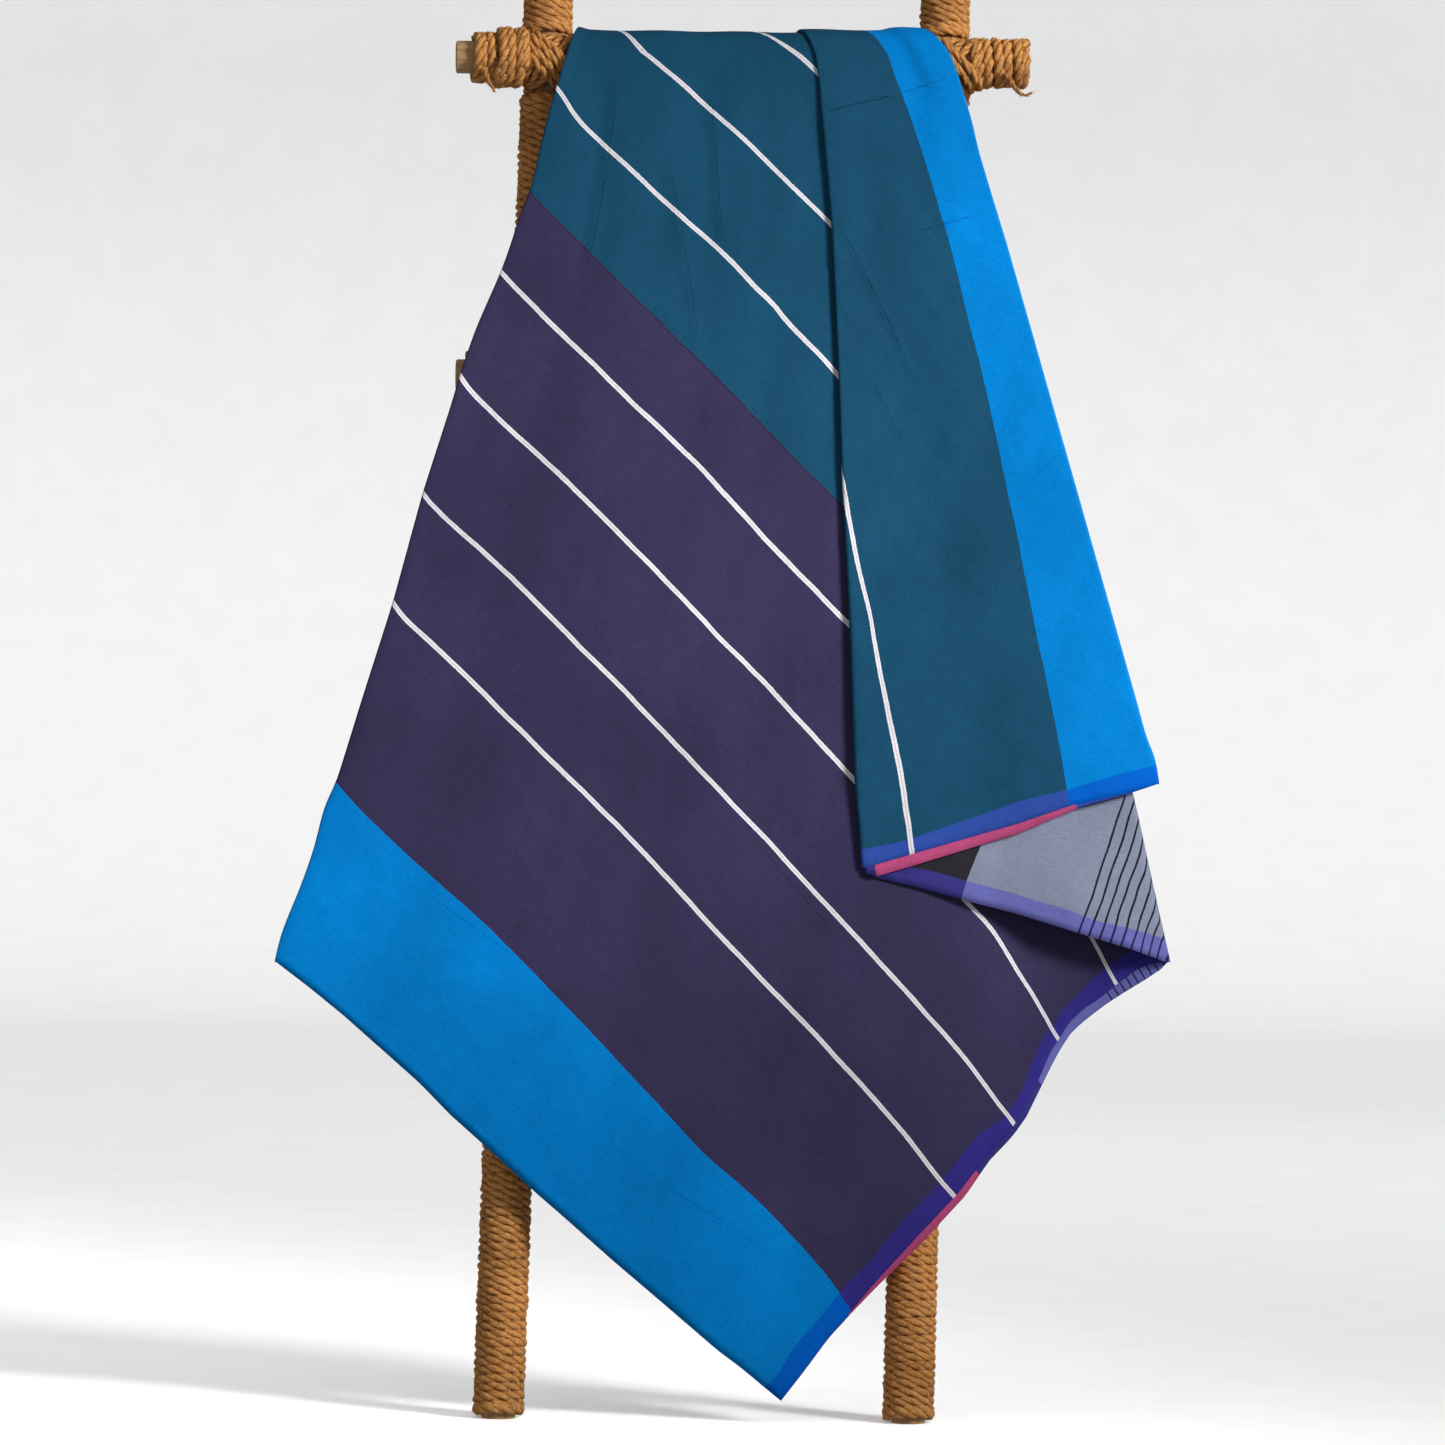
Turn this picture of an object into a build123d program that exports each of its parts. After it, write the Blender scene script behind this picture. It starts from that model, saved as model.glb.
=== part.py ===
from build123d import *
from math import cos, radians, sin, sqrt, tan
import os

os.makedirs("parts", exist_ok=True)

# ---------------------------------------------------------------- driving dimensions (mm, degrees)
lean = 8.0  # the rack leans back on a wall, top towards +Y
skew = 1.07  # handmade frame: both poles stand this much out of square with the rungs, top towards +X
core_r = 17.5  # wood cores of poles and rungs
rope_d = 10.0  # laid rope, one layer wound edge to edge
wrap_r = core_r + rope_d
fit_gap = 0.1  # a winding or lashing to the core inside it
rack_height = 1618.0
pole_spacing = 428.0
pole_mid_x = -11.4  # midway between the two feet
foot_y = -114.0  # pole axis at the floor
foot_bare = 12.0  # wood showing under the lowest winding
top_bare = 8.0

rung_offset = 2 * core_r + 0.3  # rung axis in front of the pole axis, square to the pole
rung_top_z = 1438.0
rung_pitch = 344.0
rung_left_x = [-294.0, -288.0, -291.0, -286.0]  # top rung first
rung_right_x = [319.0, 323.0, 318.0, 322.0]
rung_end_bare = [16.0, 8.0, 10.0, 9.0]  # wood showing at the left ends

lash_half_x = 29.5  # lashing block round each crossing
lash_half_up = 36.0
lash_front = 30.5  # past the rung axis
lash_back = wrap_r  # past the pole axis
lash_round = 20.0

quilt_gap_top = 28.2  # inside of the hung quilt to the top rung's axis
quilt_gap_low = 38.0  # the same at the lower rungs, clear of their lashings
quilt_ply = 2.6  # one cloth with the loft of its folds
ply_gap = 0.2
flap_thick = 9.0  # the two folded layers that lie over the right side
quilt_tip_z = 22.0
tail_drop = 600.0
tail_half = 168.0
tail_mid_x = 16.5

# ---------------------------------------------------------------- derived placement
t_y = tan(radians(lean))
t_x = tan(radians(skew))
pole_dir = Vector(t_x, t_y, 1).normalized()
s_per_z = 1 / pole_dir.Z  # length along a pole for each millimetre of height
n_y, n_z = -cos(radians(lean)), sin(radians(lean))  # square to the poles, towards the front


def pole_plane(side, s=0.0):
    """Square to a pole's axis, s above its foot; local +Y points to the back."""
    foot = Vector(pole_mid_x + side * pole_spacing / 2, foot_y, 0)
    return Plane(origin=foot + pole_dir * s, x_dir=(1, 0, -t_x), z_dir=pole_dir)


rung_z = [rung_top_z - i * rung_pitch for i in range(4)]
crossing_z = [z - rung_offset * n_z for z in rung_z]  # height where each pole axis is crossed
crossing_s = [z * s_per_z for z in crossing_z]
rung_y = [foot_y + z * t_y + rung_offset * n_y for z in crossing_z]


def pole_x(side, z):
    return pole_mid_x + side * pole_spacing / 2 + z * t_x


def rung_plane(i, x):
    """Square to a rung's axis at x; local +Z runs towards +X."""
    return Plane(origin=(x, rung_y[i], rung_z[i]), x_dir=(0, 1, 0), z_dir=(1, 0, 0))


sides = {"left": -1, "right": 1}

# ---------------------------------------------------------------- poles: round wood, feet sawn flat on the floor
for side_name, side in sides.items():
    with BuildPart() as pole:
        with BuildSketch(pole_plane(side, -20)):
            Circle(core_r)
        extrude(amount=rack_height * s_per_z + 20)
        split(bisect_by=Plane.XY, keep=Keep.TOP)
        top_edge = pole.edges().filter_by(GeomType.CIRCLE).sort_by(Axis.Z)[-1]
        chamfer(top_edge, 2)
    pole.part.label = f"pole_{side_name}"
    export_step(pole.part, f"parts/pole_{side_name}.step")

    # windings between the joints, from the floor up
    ends = [foot_bare]
    for s in reversed(crossing_s):
        ends += [s - lash_half_up - 1, s + lash_half_up + 1]
    ends.append(rack_height * s_per_z - top_bare)
    for k, bay in enumerate(["foot", "low", "middle", "high", "top"]):
        s0, s1 = ends[2 * k], ends[2 * k + 1]
        with BuildPart() as winding:
            with BuildSketch(pole_plane(side, s0)):
                Circle(wrap_r)
                Circle(core_r + fit_gap, mode=Mode.SUBTRACT)
            extrude(amount=s1 - s0)
            rims = winding.edges().filter_by(GeomType.CIRCLE).group_by(SortBy.RADIUS)[-1]
            fillet(rims, 4)
        winding.part.label = f"pole_rope_{side_name}_{bay}"
        export_step(winding.part, f"parts/pole_rope_{side_name}_{bay}.step")

# ---------------------------------------------------------------- rungs: round wood laid across the front of the poles
for i in range(4):
    x0, x1 = rung_left_x[i], rung_right_x[i]
    with BuildPart() as rung:
        with BuildSketch(rung_plane(i, x0)):
            Circle(core_r)
        extrude(amount=x1 - x0)
        chamfer(rung.edges().filter_by(GeomType.CIRCLE), 1.5)
    rung.part.label = f"rung_{i + 1}"
    export_step(rung.part, f"parts/rung_{i + 1}.step")

    xl, xr = pole_x(-1, crossing_z[i]), pole_x(1, crossing_z[i])
    spans = {
        "left": (x0 + rung_end_bare[i], xl - lash_half_x - 1),
        "middle": (xl + lash_half_x + 1, xr - lash_half_x - 1),
        "right": (xr + lash_half_x + 1, x1 + 1.5),
    }
    for where, (a, b) in spans.items():
        with BuildPart() as winding:
            with BuildSketch(rung_plane(i, a)):
                Circle(wrap_r)
                Circle(core_r + fit_gap, mode=Mode.SUBTRACT)
            extrude(amount=b - a)
            rims = winding.edges().filter_by(GeomType.CIRCLE).group_by(SortBy.RADIUS)[-1]
            fillet(rims, 4)
        winding.part.label = f"rung_rope_{i + 1}_{where}"
        export_step(winding.part, f"parts/rung_rope_{i + 1}_{where}.step")

    # lashings: rope tied round both cores where they cross, drawn as its outer shape
    for side_name, side in sides.items():
        s_low = crossing_s[i] - lash_half_up
        depth = rung_offset + lash_front + lash_back
        with BuildPart() as lashing:
            with BuildSketch(pole_plane(side, s_low)):
                with Locations((0, lash_back - depth / 2)):
                    RectangleRounded(2 * lash_half_x, depth, lash_round)
            extrude(amount=2 * lash_half_up)
            rims = lashing.faces().filter_by(Axis(origin=(0, 0, 0), direction=pole_dir)).edges()
            fillet(rims, 9)
            with BuildSketch(pole_plane(side, s_low - 5)):
                Circle(core_r + fit_gap)
            extrude(amount=2 * lash_half_up + 10, mode=Mode.SUBTRACT)
            with BuildSketch(rung_plane(i, pole_x(side, crossing_z[i]) - 45)):
                Circle(core_r + fit_gap)
            extrude(amount=90, mode=Mode.SUBTRACT)
        lashing.part.label = f"lashing_{i + 1}_{side_name}"
        export_step(lashing.part, f"parts/lashing_{i + 1}_{side_name}.step")

# ---------------------------------------------------------------- quilt: two cloths hung over the top rung
ry, rz = rung_y[0], rung_z[0]
bay_len = rung_pitch / cos(radians(lean))


def front_point(bays, off):
    """On the front of the rack, bays below the top rung and off in front of the rung axes."""
    return (
        ry - bays * rung_pitch * t_y + off * n_y,
        rz - bays * rung_pitch + off * n_z,
    )


def front_line(bottom_z, extra):
    """Bottom to top down the front of one hung layer, in (y, z)."""
    low = front_point(3, quilt_gap_low + extra)
    return [
        (low[0], bottom_z),
        low,
        front_point(1, quilt_gap_low + extra),
        front_point(0, quilt_gap_top + extra),
    ]


def over_rung(radius):
    """Highest part of the bend over the top rung, and its back end, in (y, z)."""
    half = radians(lean / 2)
    return (ry + radius * sin(half), rz + radius * cos(half)), (ry + radius, rz)


# outlines seen from the front (x, z)
front_outline = [
    (-158.0, 1480.0),
    (-161.0, 1399.0),
    (-188.0, 1390.0),
    (-229.0, 1239.0),
    (-283.0, 1092.0),
    (-379.0, 748.0),
    (-467.0, 473.0),
    (-311.0, 349.0),
    (-156.0, 207.0),
    (70.0, quilt_tip_z),
    (212.0, 197.0),
    (310.0, 301.0),
    (373.0, 426.0),
    (467.0, 484.0),
    (459.0, 672.0),
    (344.0, 1073.0),
    (264.0, 1341.0),
    (246.0, 1390.0),
    (197.0, 1399.0),
    (196.0, 1480.0),
]
flap_outline = [(85.0, 1425.0), (110.0, 1256.0), (133.0, 831.0), (147.0, 577.0), (457.0, 671.0), (343.0, 1073.0), (262.0, 1341.0), (246.0, 1388.0), (197.0, 1397.0), (197.0, 1425.0)]
tail_outline = [
    (tail_mid_x - tail_half, 1480.0),
    (tail_mid_x - tail_half, 1425.0),
    (tail_mid_x - 12, 1438.0 - tail_drop),
    (tail_mid_x + 12, 1438.0 - tail_drop),
    (tail_mid_x + tail_half + 6, 1425.0),
    (tail_mid_x + tail_half + 6, 1480.0),
]

layers = {
    "quilt_backing": (0.0, quilt_ply),
    "quilt_face": (quilt_ply + ply_gap, 2 * quilt_ply + ply_gap),
}
for name, (inner, outer) in layers.items():
    a, b = front_line(quilt_tip_z - 5, inner), front_line(quilt_tip_z - 5, outer)
    (a_top, a_back), (b_top, b_back) = over_rung(quilt_gap_top + inner), over_rung(quilt_gap_top + outer)
    tail_z = rz - tail_drop - 5
    with BuildPart() as shell:
        # side profile: down the front, over the rung and straight down behind it
        with BuildSketch(Plane.YZ.offset(-500)):
            with BuildLine():
                Polyline(*a)
                ThreePointArc(a[-1], a_top, a_back)
                Polyline(a_back, (a_back[0], tail_z), (b_back[0], tail_z), b_back)
                ThreePointArc(b_back, b_top, b[-1])
                Polyline(*reversed(b))
                Line(b[0], a[0])
            make_face()
        extrude(amount=1000)
    with BuildPart() as front:
        add(shell.part)
        with BuildSketch(Plane.XZ.offset(-ry)):
            with BuildLine():
                Polyline(*front_outline, close=True)
            make_face()
        extrude(amount=400, mode=Mode.INTERSECT)
    with BuildPart() as tail:
        add(shell.part)
        with BuildSketch(Plane.XZ.offset(-ry)):
            with BuildLine():
                Polyline(*tail_outline, close=True)
            make_face()
        extrude(amount=-400, mode=Mode.INTERSECT)
    # the flap: side profile of the folded layers on the right, cut to its outline
    base = 2 * quilt_ply + ply_gap - 0.2
    with BuildPart() as flap:
        with BuildSketch(Plane.YZ.offset(-500)):
            with BuildLine():
                Polyline(
                    front_point(3, quilt_gap_low + base),
                    front_point(1, quilt_gap_low + base),
                    front_point(0, quilt_gap_top + base),
                    front_point(0, quilt_gap_top + base + flap_thick * 0.6),
                    front_point(1, quilt_gap_low + base + flap_thick),
                    front_point(3, quilt_gap_low + base + flap_thick),
                    close=True,
                )
            make_face()
        extrude(amount=1000)
        with BuildSketch(Plane.XZ.offset(-200)):
            with BuildLine():
                Polyline(*flap_outline, close=True)
            make_face()
        extrude(amount=600, mode=Mode.INTERSECT)
    with BuildPart() as quilt:
        add(front.part)
        add(tail.part)
        if name == "quilt_face":
            add(flap.part)
    quilt.part.label = name
    export_step(quilt.part, f"parts/{name}.step")
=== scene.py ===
import math

import bpy
import numpy as np
from mathutils import Matrix, Vector


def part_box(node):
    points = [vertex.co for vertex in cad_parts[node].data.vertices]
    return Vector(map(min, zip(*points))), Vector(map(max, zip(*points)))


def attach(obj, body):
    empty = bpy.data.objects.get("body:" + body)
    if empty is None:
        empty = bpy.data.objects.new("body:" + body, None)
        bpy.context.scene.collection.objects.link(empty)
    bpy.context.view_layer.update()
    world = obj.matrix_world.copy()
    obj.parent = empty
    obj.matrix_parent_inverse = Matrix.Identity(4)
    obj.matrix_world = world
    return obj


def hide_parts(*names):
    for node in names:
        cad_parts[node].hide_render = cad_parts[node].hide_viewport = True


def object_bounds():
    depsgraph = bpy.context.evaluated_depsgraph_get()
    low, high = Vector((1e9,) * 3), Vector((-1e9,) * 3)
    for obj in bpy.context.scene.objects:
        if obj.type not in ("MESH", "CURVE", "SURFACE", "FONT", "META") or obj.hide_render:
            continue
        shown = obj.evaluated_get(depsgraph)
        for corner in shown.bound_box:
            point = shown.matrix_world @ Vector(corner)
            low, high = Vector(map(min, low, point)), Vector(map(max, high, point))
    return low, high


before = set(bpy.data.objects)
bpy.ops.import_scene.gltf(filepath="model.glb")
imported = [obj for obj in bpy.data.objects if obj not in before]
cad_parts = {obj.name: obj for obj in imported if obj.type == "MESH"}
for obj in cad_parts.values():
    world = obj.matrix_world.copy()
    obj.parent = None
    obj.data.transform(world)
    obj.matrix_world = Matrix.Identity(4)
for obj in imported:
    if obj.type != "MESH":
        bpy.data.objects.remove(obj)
cad_box = [[float(c) for c in corner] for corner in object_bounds()]

# ------------------------------------------------------------------ where the frame is (mm)
MM = 1000.0
rung_lo, rung_hi = (np.array(v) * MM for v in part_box("rung_1"))
low_lo, low_hi = (np.array(v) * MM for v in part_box("rung_4"))
CORE_R = (rung_hi[2] - rung_lo[2]) / 2
ROPE_D = 10.0
WRAP_R = CORE_R + ROPE_D
RUNG_Y = (rung_lo[1] + rung_hi[1]) / 2
RUNG_Z = (rung_lo[2] + rung_hi[2]) / 2
PITCH = (RUNG_Z - (low_lo[2] + low_hi[2]) / 2) / 3
LEAN = math.atan2(RUNG_Y - (low_lo[1] + low_hi[1]) / 2, 3 * PITCH)
SL, CL = math.sin(LEAN), math.cos(LEAN)
GAP_TOP, GAP_LOW = 28.2, 38.0
rack_lo, rack_hi = (np.array(v) * MM for v in cad_box)

# camera: level, about 6.5 m in front of the cloth, turned a little as it was held
CAM_F = 6190.0 / 1445.0  # focal length over the frame's width
CAM_Y = -6579.0
CAM_Z = 728.6
ROLL = math.radians(0.7)


def srgb(r, g, b, a=1.0):
    def lin(c):
        c /= 255.0
        return c / 12.92 if c <= 0.04045 else ((c + 0.055) / 1.055) ** 2.4

    return (lin(r), lin(g), lin(b), a)


def mesh_object(name, verts, faces, uv=None, attrs=None, smooth=True):
    """verts in mm, faces as an (n, 4) or (n, 3) array, or a list of such arrays; uv and attrs are per vertex."""
    blocks = faces if isinstance(faces, list) else [faces]
    blocks = [np.asarray(b, dtype=np.int64) for b in blocks if len(b)]
    loops = np.concatenate([b.ravel() for b in blocks])
    totals = np.concatenate([np.full(len(b), b.shape[1]) for b in blocks])
    starts = np.concatenate([[0], np.cumsum(totals)[:-1]])
    me = bpy.data.meshes.new(name)
    me.vertices.add(len(verts))
    me.vertices.foreach_set("co", (np.asarray(verts, dtype=np.float64) / MM).astype(np.float32).ravel())
    me.loops.add(len(loops))
    me.loops.foreach_set("vertex_index", loops.astype(np.int32))
    me.polygons.add(len(totals))
    me.polygons.foreach_set("loop_start", starts.astype(np.int32))
    me.polygons.foreach_set("loop_total", totals.astype(np.int32))
    me.update(calc_edges=True)
    if uv is not None:
        layer = me.uv_layers.new(name="cloth" if not isinstance(uv, tuple) else uv[0])
        data = uv if not isinstance(uv, tuple) else uv[1]
        layer.data.foreach_set("uv", np.asarray(data, dtype=np.float32)[loops].ravel())
    for key, values in (attrs or {}).items():
        a = me.attributes.new(key, "FLOAT", "POINT")
        a.data.foreach_set("value", np.asarray(values, dtype=np.float32))
    me.validate(verbose=False)
    if smooth:
        me.polygons.foreach_set("use_smooth", np.ones(len(me.polygons), dtype=bool))
    me.update()
    ob = bpy.data.objects.new(name, me)
    bpy.context.scene.collection.objects.link(ob)
    return ob


def grid_faces(nr, nc, close=False):
    """Quads over an (nr, nc) grid of vertices, row by row."""
    r, c = np.meshgrid(np.arange(nr - 1), np.arange(nc if close else nc - 1), indexing="ij")
    d = (c + 1) % nc
    return np.stack([r * nc + c, r * nc + d, (r + 1) * nc + d, (r + 1) * nc + c], axis=-1).reshape(-1, 4)


class Spline2:
    """Thin-plate fit of one or more values over the plane, from scattered points."""

    def __init__(self, pts, vals, soft=1e-5):
        p = np.asarray(pts, float) / MM
        v = np.asarray(vals, float)
        v = v[:, None] if v.ndim == 1 else v
        keep = np.unique(np.round(p, 5), axis=0, return_index=True)[1]
        p, v = p[np.sort(keep)], v[np.sort(keep)]
        n = len(p)
        a = np.zeros((n + 3, n + 3))
        a[:n, :n] = self.k(p, p) + np.eye(n) * soft
        a[:n, n] = a[n, :n] = 1
        a[:n, n + 1 :] = p
        a[n + 1 :, :n] = p.T
        b = np.zeros((n + 3, v.shape[1]))
        b[:n] = v
        self.p, self.w = p, np.linalg.solve(a, b)

    @staticmethod
    def k(a, b):
        d2 = ((a[:, None, :] - b[None, :, :]) ** 2).sum(-1)
        return 0.5 * d2 * np.log(np.maximum(d2, 1e-14))

    def __call__(self, x, z):
        q = np.stack([np.ravel(x), np.ravel(z)], axis=1) / MM
        out = []
        n = len(self.p)
        for i in range(0, len(q), 20000):
            part = q[i : i + 20000]
            out.append(self.k(part, self.p) @ self.w[:n] + self.w[n] + part @ self.w[n + 1 :])
        out = np.concatenate(out)
        return [out[:, j].reshape(np.shape(x)) for j in range(out.shape[1])]


def along(line, u):
    """Points of a polyline at the fractions u of its length."""
    line = np.asarray(line, float)
    s = np.concatenate([[0], np.cumsum(np.linalg.norm(np.diff(line, axis=0), axis=1))])
    return np.stack([np.interp(u * s[-1], s, line[:, k]) for k in range(line.shape[1])], axis=-1)


def smooth_line(line, n=400, width=9):
    """A polyline resampled evenly and rounded a little, with its ends kept."""
    pts = along(line, np.linspace(0, 1, n))
    k = np.hanning(width + 2)[1:-1]
    k /= k.sum()
    pad = width // 2
    ext = np.concatenate([2 * pts[0] - pts[pad:0:-1], pts, 2 * pts[-1] - pts[-2 : -pad - 2 : -1]])
    out = np.stack([np.convolve(ext[:, j], k, "valid") for j in range(pts.shape[1])], axis=-1)
    out[0], out[-1] = pts[0], pts[-1]
    return out


def ease(a, b, x):
    u = np.clip((np.asarray(x, float) - a) / (b - a), 0, 1)
    return u * u * (3 - 2 * u)


def waves(seed, n, lo, hi, power=1.0):
    """A smooth random field over the plane: n sine waves with wavelengths from lo to hi mm, scaled to about +-1."""
    r = np.random.default_rng(seed)
    lam = np.exp(r.uniform(math.log(lo), math.log(hi), n))
    ang, ph = r.uniform(0, math.pi, n), r.uniform(0, 2 * math.pi, n)
    amp = (lam / hi) ** power
    amp /= math.sqrt((amp**2).sum() / 2) * 1.6

    def f(x, z):
        out = np.zeros(np.shape(x))
        for l, a, p, m in zip(lam, ang, ph, amp):
            out += m * np.sin(2 * math.pi * (np.asarray(x) * math.cos(a) + np.asarray(z) * math.sin(a)) / l + p)
        return out

    return f


# ------------------------------------------------------------------ the cloth's own measurements (mm)
# points are (x, z) in mm on the hung front surface
F1 = [(-175.5, 1436.1), (-178.5, 1425.2), (-184.6, 1404.5), (-193.6, 1371.9), (-199.5, 1344.7), (-205.4, 1315.5), (-210.3, 1291.7), (-221.5, 1265.7), (-228.5, 1238.7), (-239.5, 1205.3), (-265.9, 1141.8), (-281.9, 1092.4), (-288.8, 1065.7), (-318.6, 966.6), (-347.9, 850.0), (-378.4, 747.6), (-403.8, 659.3), (-414.9, 637.2), (-425.4, 590.1), (-439.1, 549.3), (-453.0, 514.9), (-459.8, 494.0), (-463.5, 473.2)]
B = [(-463.5, 473.2), (-427.5, 446.7), (-392.5, 419.2), (-349.3, 382.2), (-311.4, 349.4), (-278.7, 316.5), (-239.8, 282.6), (-187.2, 235.3), (-155.6, 208.6), (-108.2, 167.5), (-58.8, 126.5), (2.3, 75.2), (27.5, 56.7), (69.5, 22.9)]
E1f = [(69.5, 22.9), (94.1, 57.5), (117.7, 90.1), (140.3, 115.4), (163.9, 144.8), (212.2, 198.5), (251.2, 240.7), (279.9, 278.5), (303.6, 303.8), (317.9, 326.9), (335.1, 361.5), (347.3, 390.8), (355.5, 402.3), (361.6, 413.8), (371.9, 426.4), (385.4, 437.9), (399.0, 446.4), (417.7, 462.1), (439.5, 478.0), (457.2, 484.4), (469.8, 484.5)]
E1b = [(69.5, 22.9), (95.2, 56.5), (118.7, 89.1), (141.3, 114.4), (167.0, 141.7), (217.4, 192.3), (259.6, 238.7), (284.1, 275.4), (307.8, 300.7), (322.1, 320.7), (339.4, 356.3), (349.5, 377.2), (358.7, 394.0), (369.9, 410.8), (385.5, 424.5), (406.3, 440.2), (426.0, 452.9), (448.9, 466.7), (461.4, 475.1), (467.7, 479.3), (470.3, 483.5)]
BORD1 = [(61.0, 43.6), (77.3, 70.9), (106.0, 105.6), (128.6, 135.0), (156.3, 164.5), (185.0, 201.3), (233.4, 252.9), (278.5, 308.7), (297.1, 320.4), (312.5, 340.3), (321.6, 363.4), (329.6, 386.4), (340.8, 408.4), (349.1, 417.8), (358.4, 433.5), (369.8, 445.0), (381.2, 457.5), (396.8, 472.2), (412.4, 485.9), (425.9, 493.4)]
F2 = [(193.4, 1440.6), (250.9, 1251.1), (339.1, 960.9), (430.6, 660.1), (441.3, 611.1), (456.0, 544.6), (469.8, 484.5)]
F3 = [(91.0, 1439.4), (94.4, 1418.8), (98.0, 1376.6), (109.8, 1255.8), (118.6, 1096.3), (122.8, 996.4), (132.7, 830.6), (135.6, 753.9), (139.5, 665.9), (144.1, 620.0), (147.6, 578.3)]
F4 = [(235.0, 1441.2), (242.5, 1420.6), (257.7, 1371.0), (264.3, 1340.8), (280.5, 1287.0), (294.5, 1242.0), (342.8, 1073.5), (433.5, 757.5), (445.2, 714.7), (453.6, 698.0), (457.8, 669.8)]
P2B = [(150.8, 573.2), (154.0, 570.1), (216.8, 556.3), (253.4, 546.3), (309.9, 532.5), (370.5, 514.5), (430.1, 497.6), (469.8, 484.5)]
P3F = [(147.6, 578.3), (199.8, 593.6), (309.4, 626.2), (367.9, 646.8), (429.6, 661.1), (457.8, 669.8)]
P3Bk = [(150.8, 572.1), (160.3, 569.1), (203.0, 582.1), (309.4, 615.8), (378.4, 645.8), (429.6, 660.1), (457.8, 669.8)]
P0E = [(-463.5, 473.2), (-52.6, 547.8), (333.5, 607.7)]
P0R = [(333.5, 607.7), (278.7, 1019.6), (223.2, 1441.0)]
T1 = {
    0: [(-463.5, 473.2), (-427.5, 446.7), (-392.5, 419.2), (-349.3, 382.2), (-311.4, 349.4), (-278.7, 316.5), (-239.8, 282.6), (-187.2, 235.3), (-155.6, 208.6), (-108.2, 167.5), (-58.8, 126.5), (2.3, 75.2), (27.5, 56.7), (69.5, 22.9)],
    168: [(-403.9, 660.3), (-367.5, 623.2), (-302.6, 564.5), (-245.3, 515.3), (-182.7, 454.8), (-116.1, 387.2), (-66.5, 334.7), (-12.7, 278.1), (38.8, 234.9), (81.0, 192.8), (122.2, 145.4), (140.2, 119.5)],
    336: [(-347.9, 850.0), (-340.3, 839.1), (-295.4, 797.9), (-250.6, 755.6), (-205.8, 711.8), (-161.1, 669.5), (-116.5, 627.3), (-71.9, 582.2), (-27.4, 535.6), (17.0, 488.6), (61.3, 444.1), (105.6, 399.7), (149.9, 352.5), (194.2, 302.6), (238.6, 247.8), (248.1, 237.5)],
    434: [(-318.6, 966.6), (-313.2, 959.9), (-268.2, 917.7), (-223.2, 876.7), (-178.4, 833.7), (-133.6, 790.4), (-88.8, 745.6), (-44.2, 700.5), (0.4, 654.2), (44.9, 608.7), (89.3, 562.1), (133.6, 515.2), (177.8, 468.7), (222.0, 421.2), (266.3, 369.7), (309.7, 312.2)],
    543: [(-281.9, 1091.4), (-273.2, 1079.3), (-228.1, 1035.7), (-183.1, 995.0), (-138.1, 952.4), (-93.3, 908.4), (-48.5, 863.8), (-3.7, 817.2), (40.9, 773.2), (85.5, 726.3), (130.0, 679.0), (262.9, 537.9), (285.0, 513.5), (307.1, 479.2), (329.1, 444.8), (351.2, 407.1)],
    644: [(-240.6, 1203.1), (-189.9, 1151.9), (-144.7, 1109.4), (-99.7, 1065.8), (-54.8, 1024.7), (-9.9, 979.4), (34.9, 930.7), (79.6, 885.2), (124.2, 841.0), (265.1, 676.9), (390.4, 504.2), (400.9, 484.1), (411.4, 465.5)],
    721: [(-207.0, 1285.3), (-158.4, 1236.4), (-103.5, 1182.3), (-48.8, 1130.5), (11.1, 1071.6), (64.5, 1015.9), (121.0, 961.4), (290.7, 776.8), (406.8, 589.8), (468.7, 488.7)],
    812: [(-182.4, 1399.1), (-167.1, 1376.5), (-155.1, 1361.6), (-131.4, 1339.1), (-107.7, 1318.1), (-84.0, 1296.1), (-60.3, 1274.1), (-36.7, 1253.2), (-13.0, 1232.2), (10.5, 1210.4), (34.1, 1185.6), (54.5, 1165.0), (57.7, 1160.1), (81.3, 1135.9), (104.8, 1111.8), (117.6, 1096.3), (290.0, 887.4), (428.5, 668.4)],
    918: [(-105.4, 1453.0), (-79.5, 1431.9), (-49.3, 1406.2), (-19.1, 1378.2), (11.0, 1352.7), (41.1, 1324.0), (71.2, 1294.9), (101.2, 1265.5), (219.9, 1130.7), (339.1, 960.9)],
    1023: [(50.2, 1464.1), (63.2, 1448.6), (76.1, 1438.0), (89.0, 1426.2), (170.7, 1339.6), (250.9, 1251.1)],
}
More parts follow.
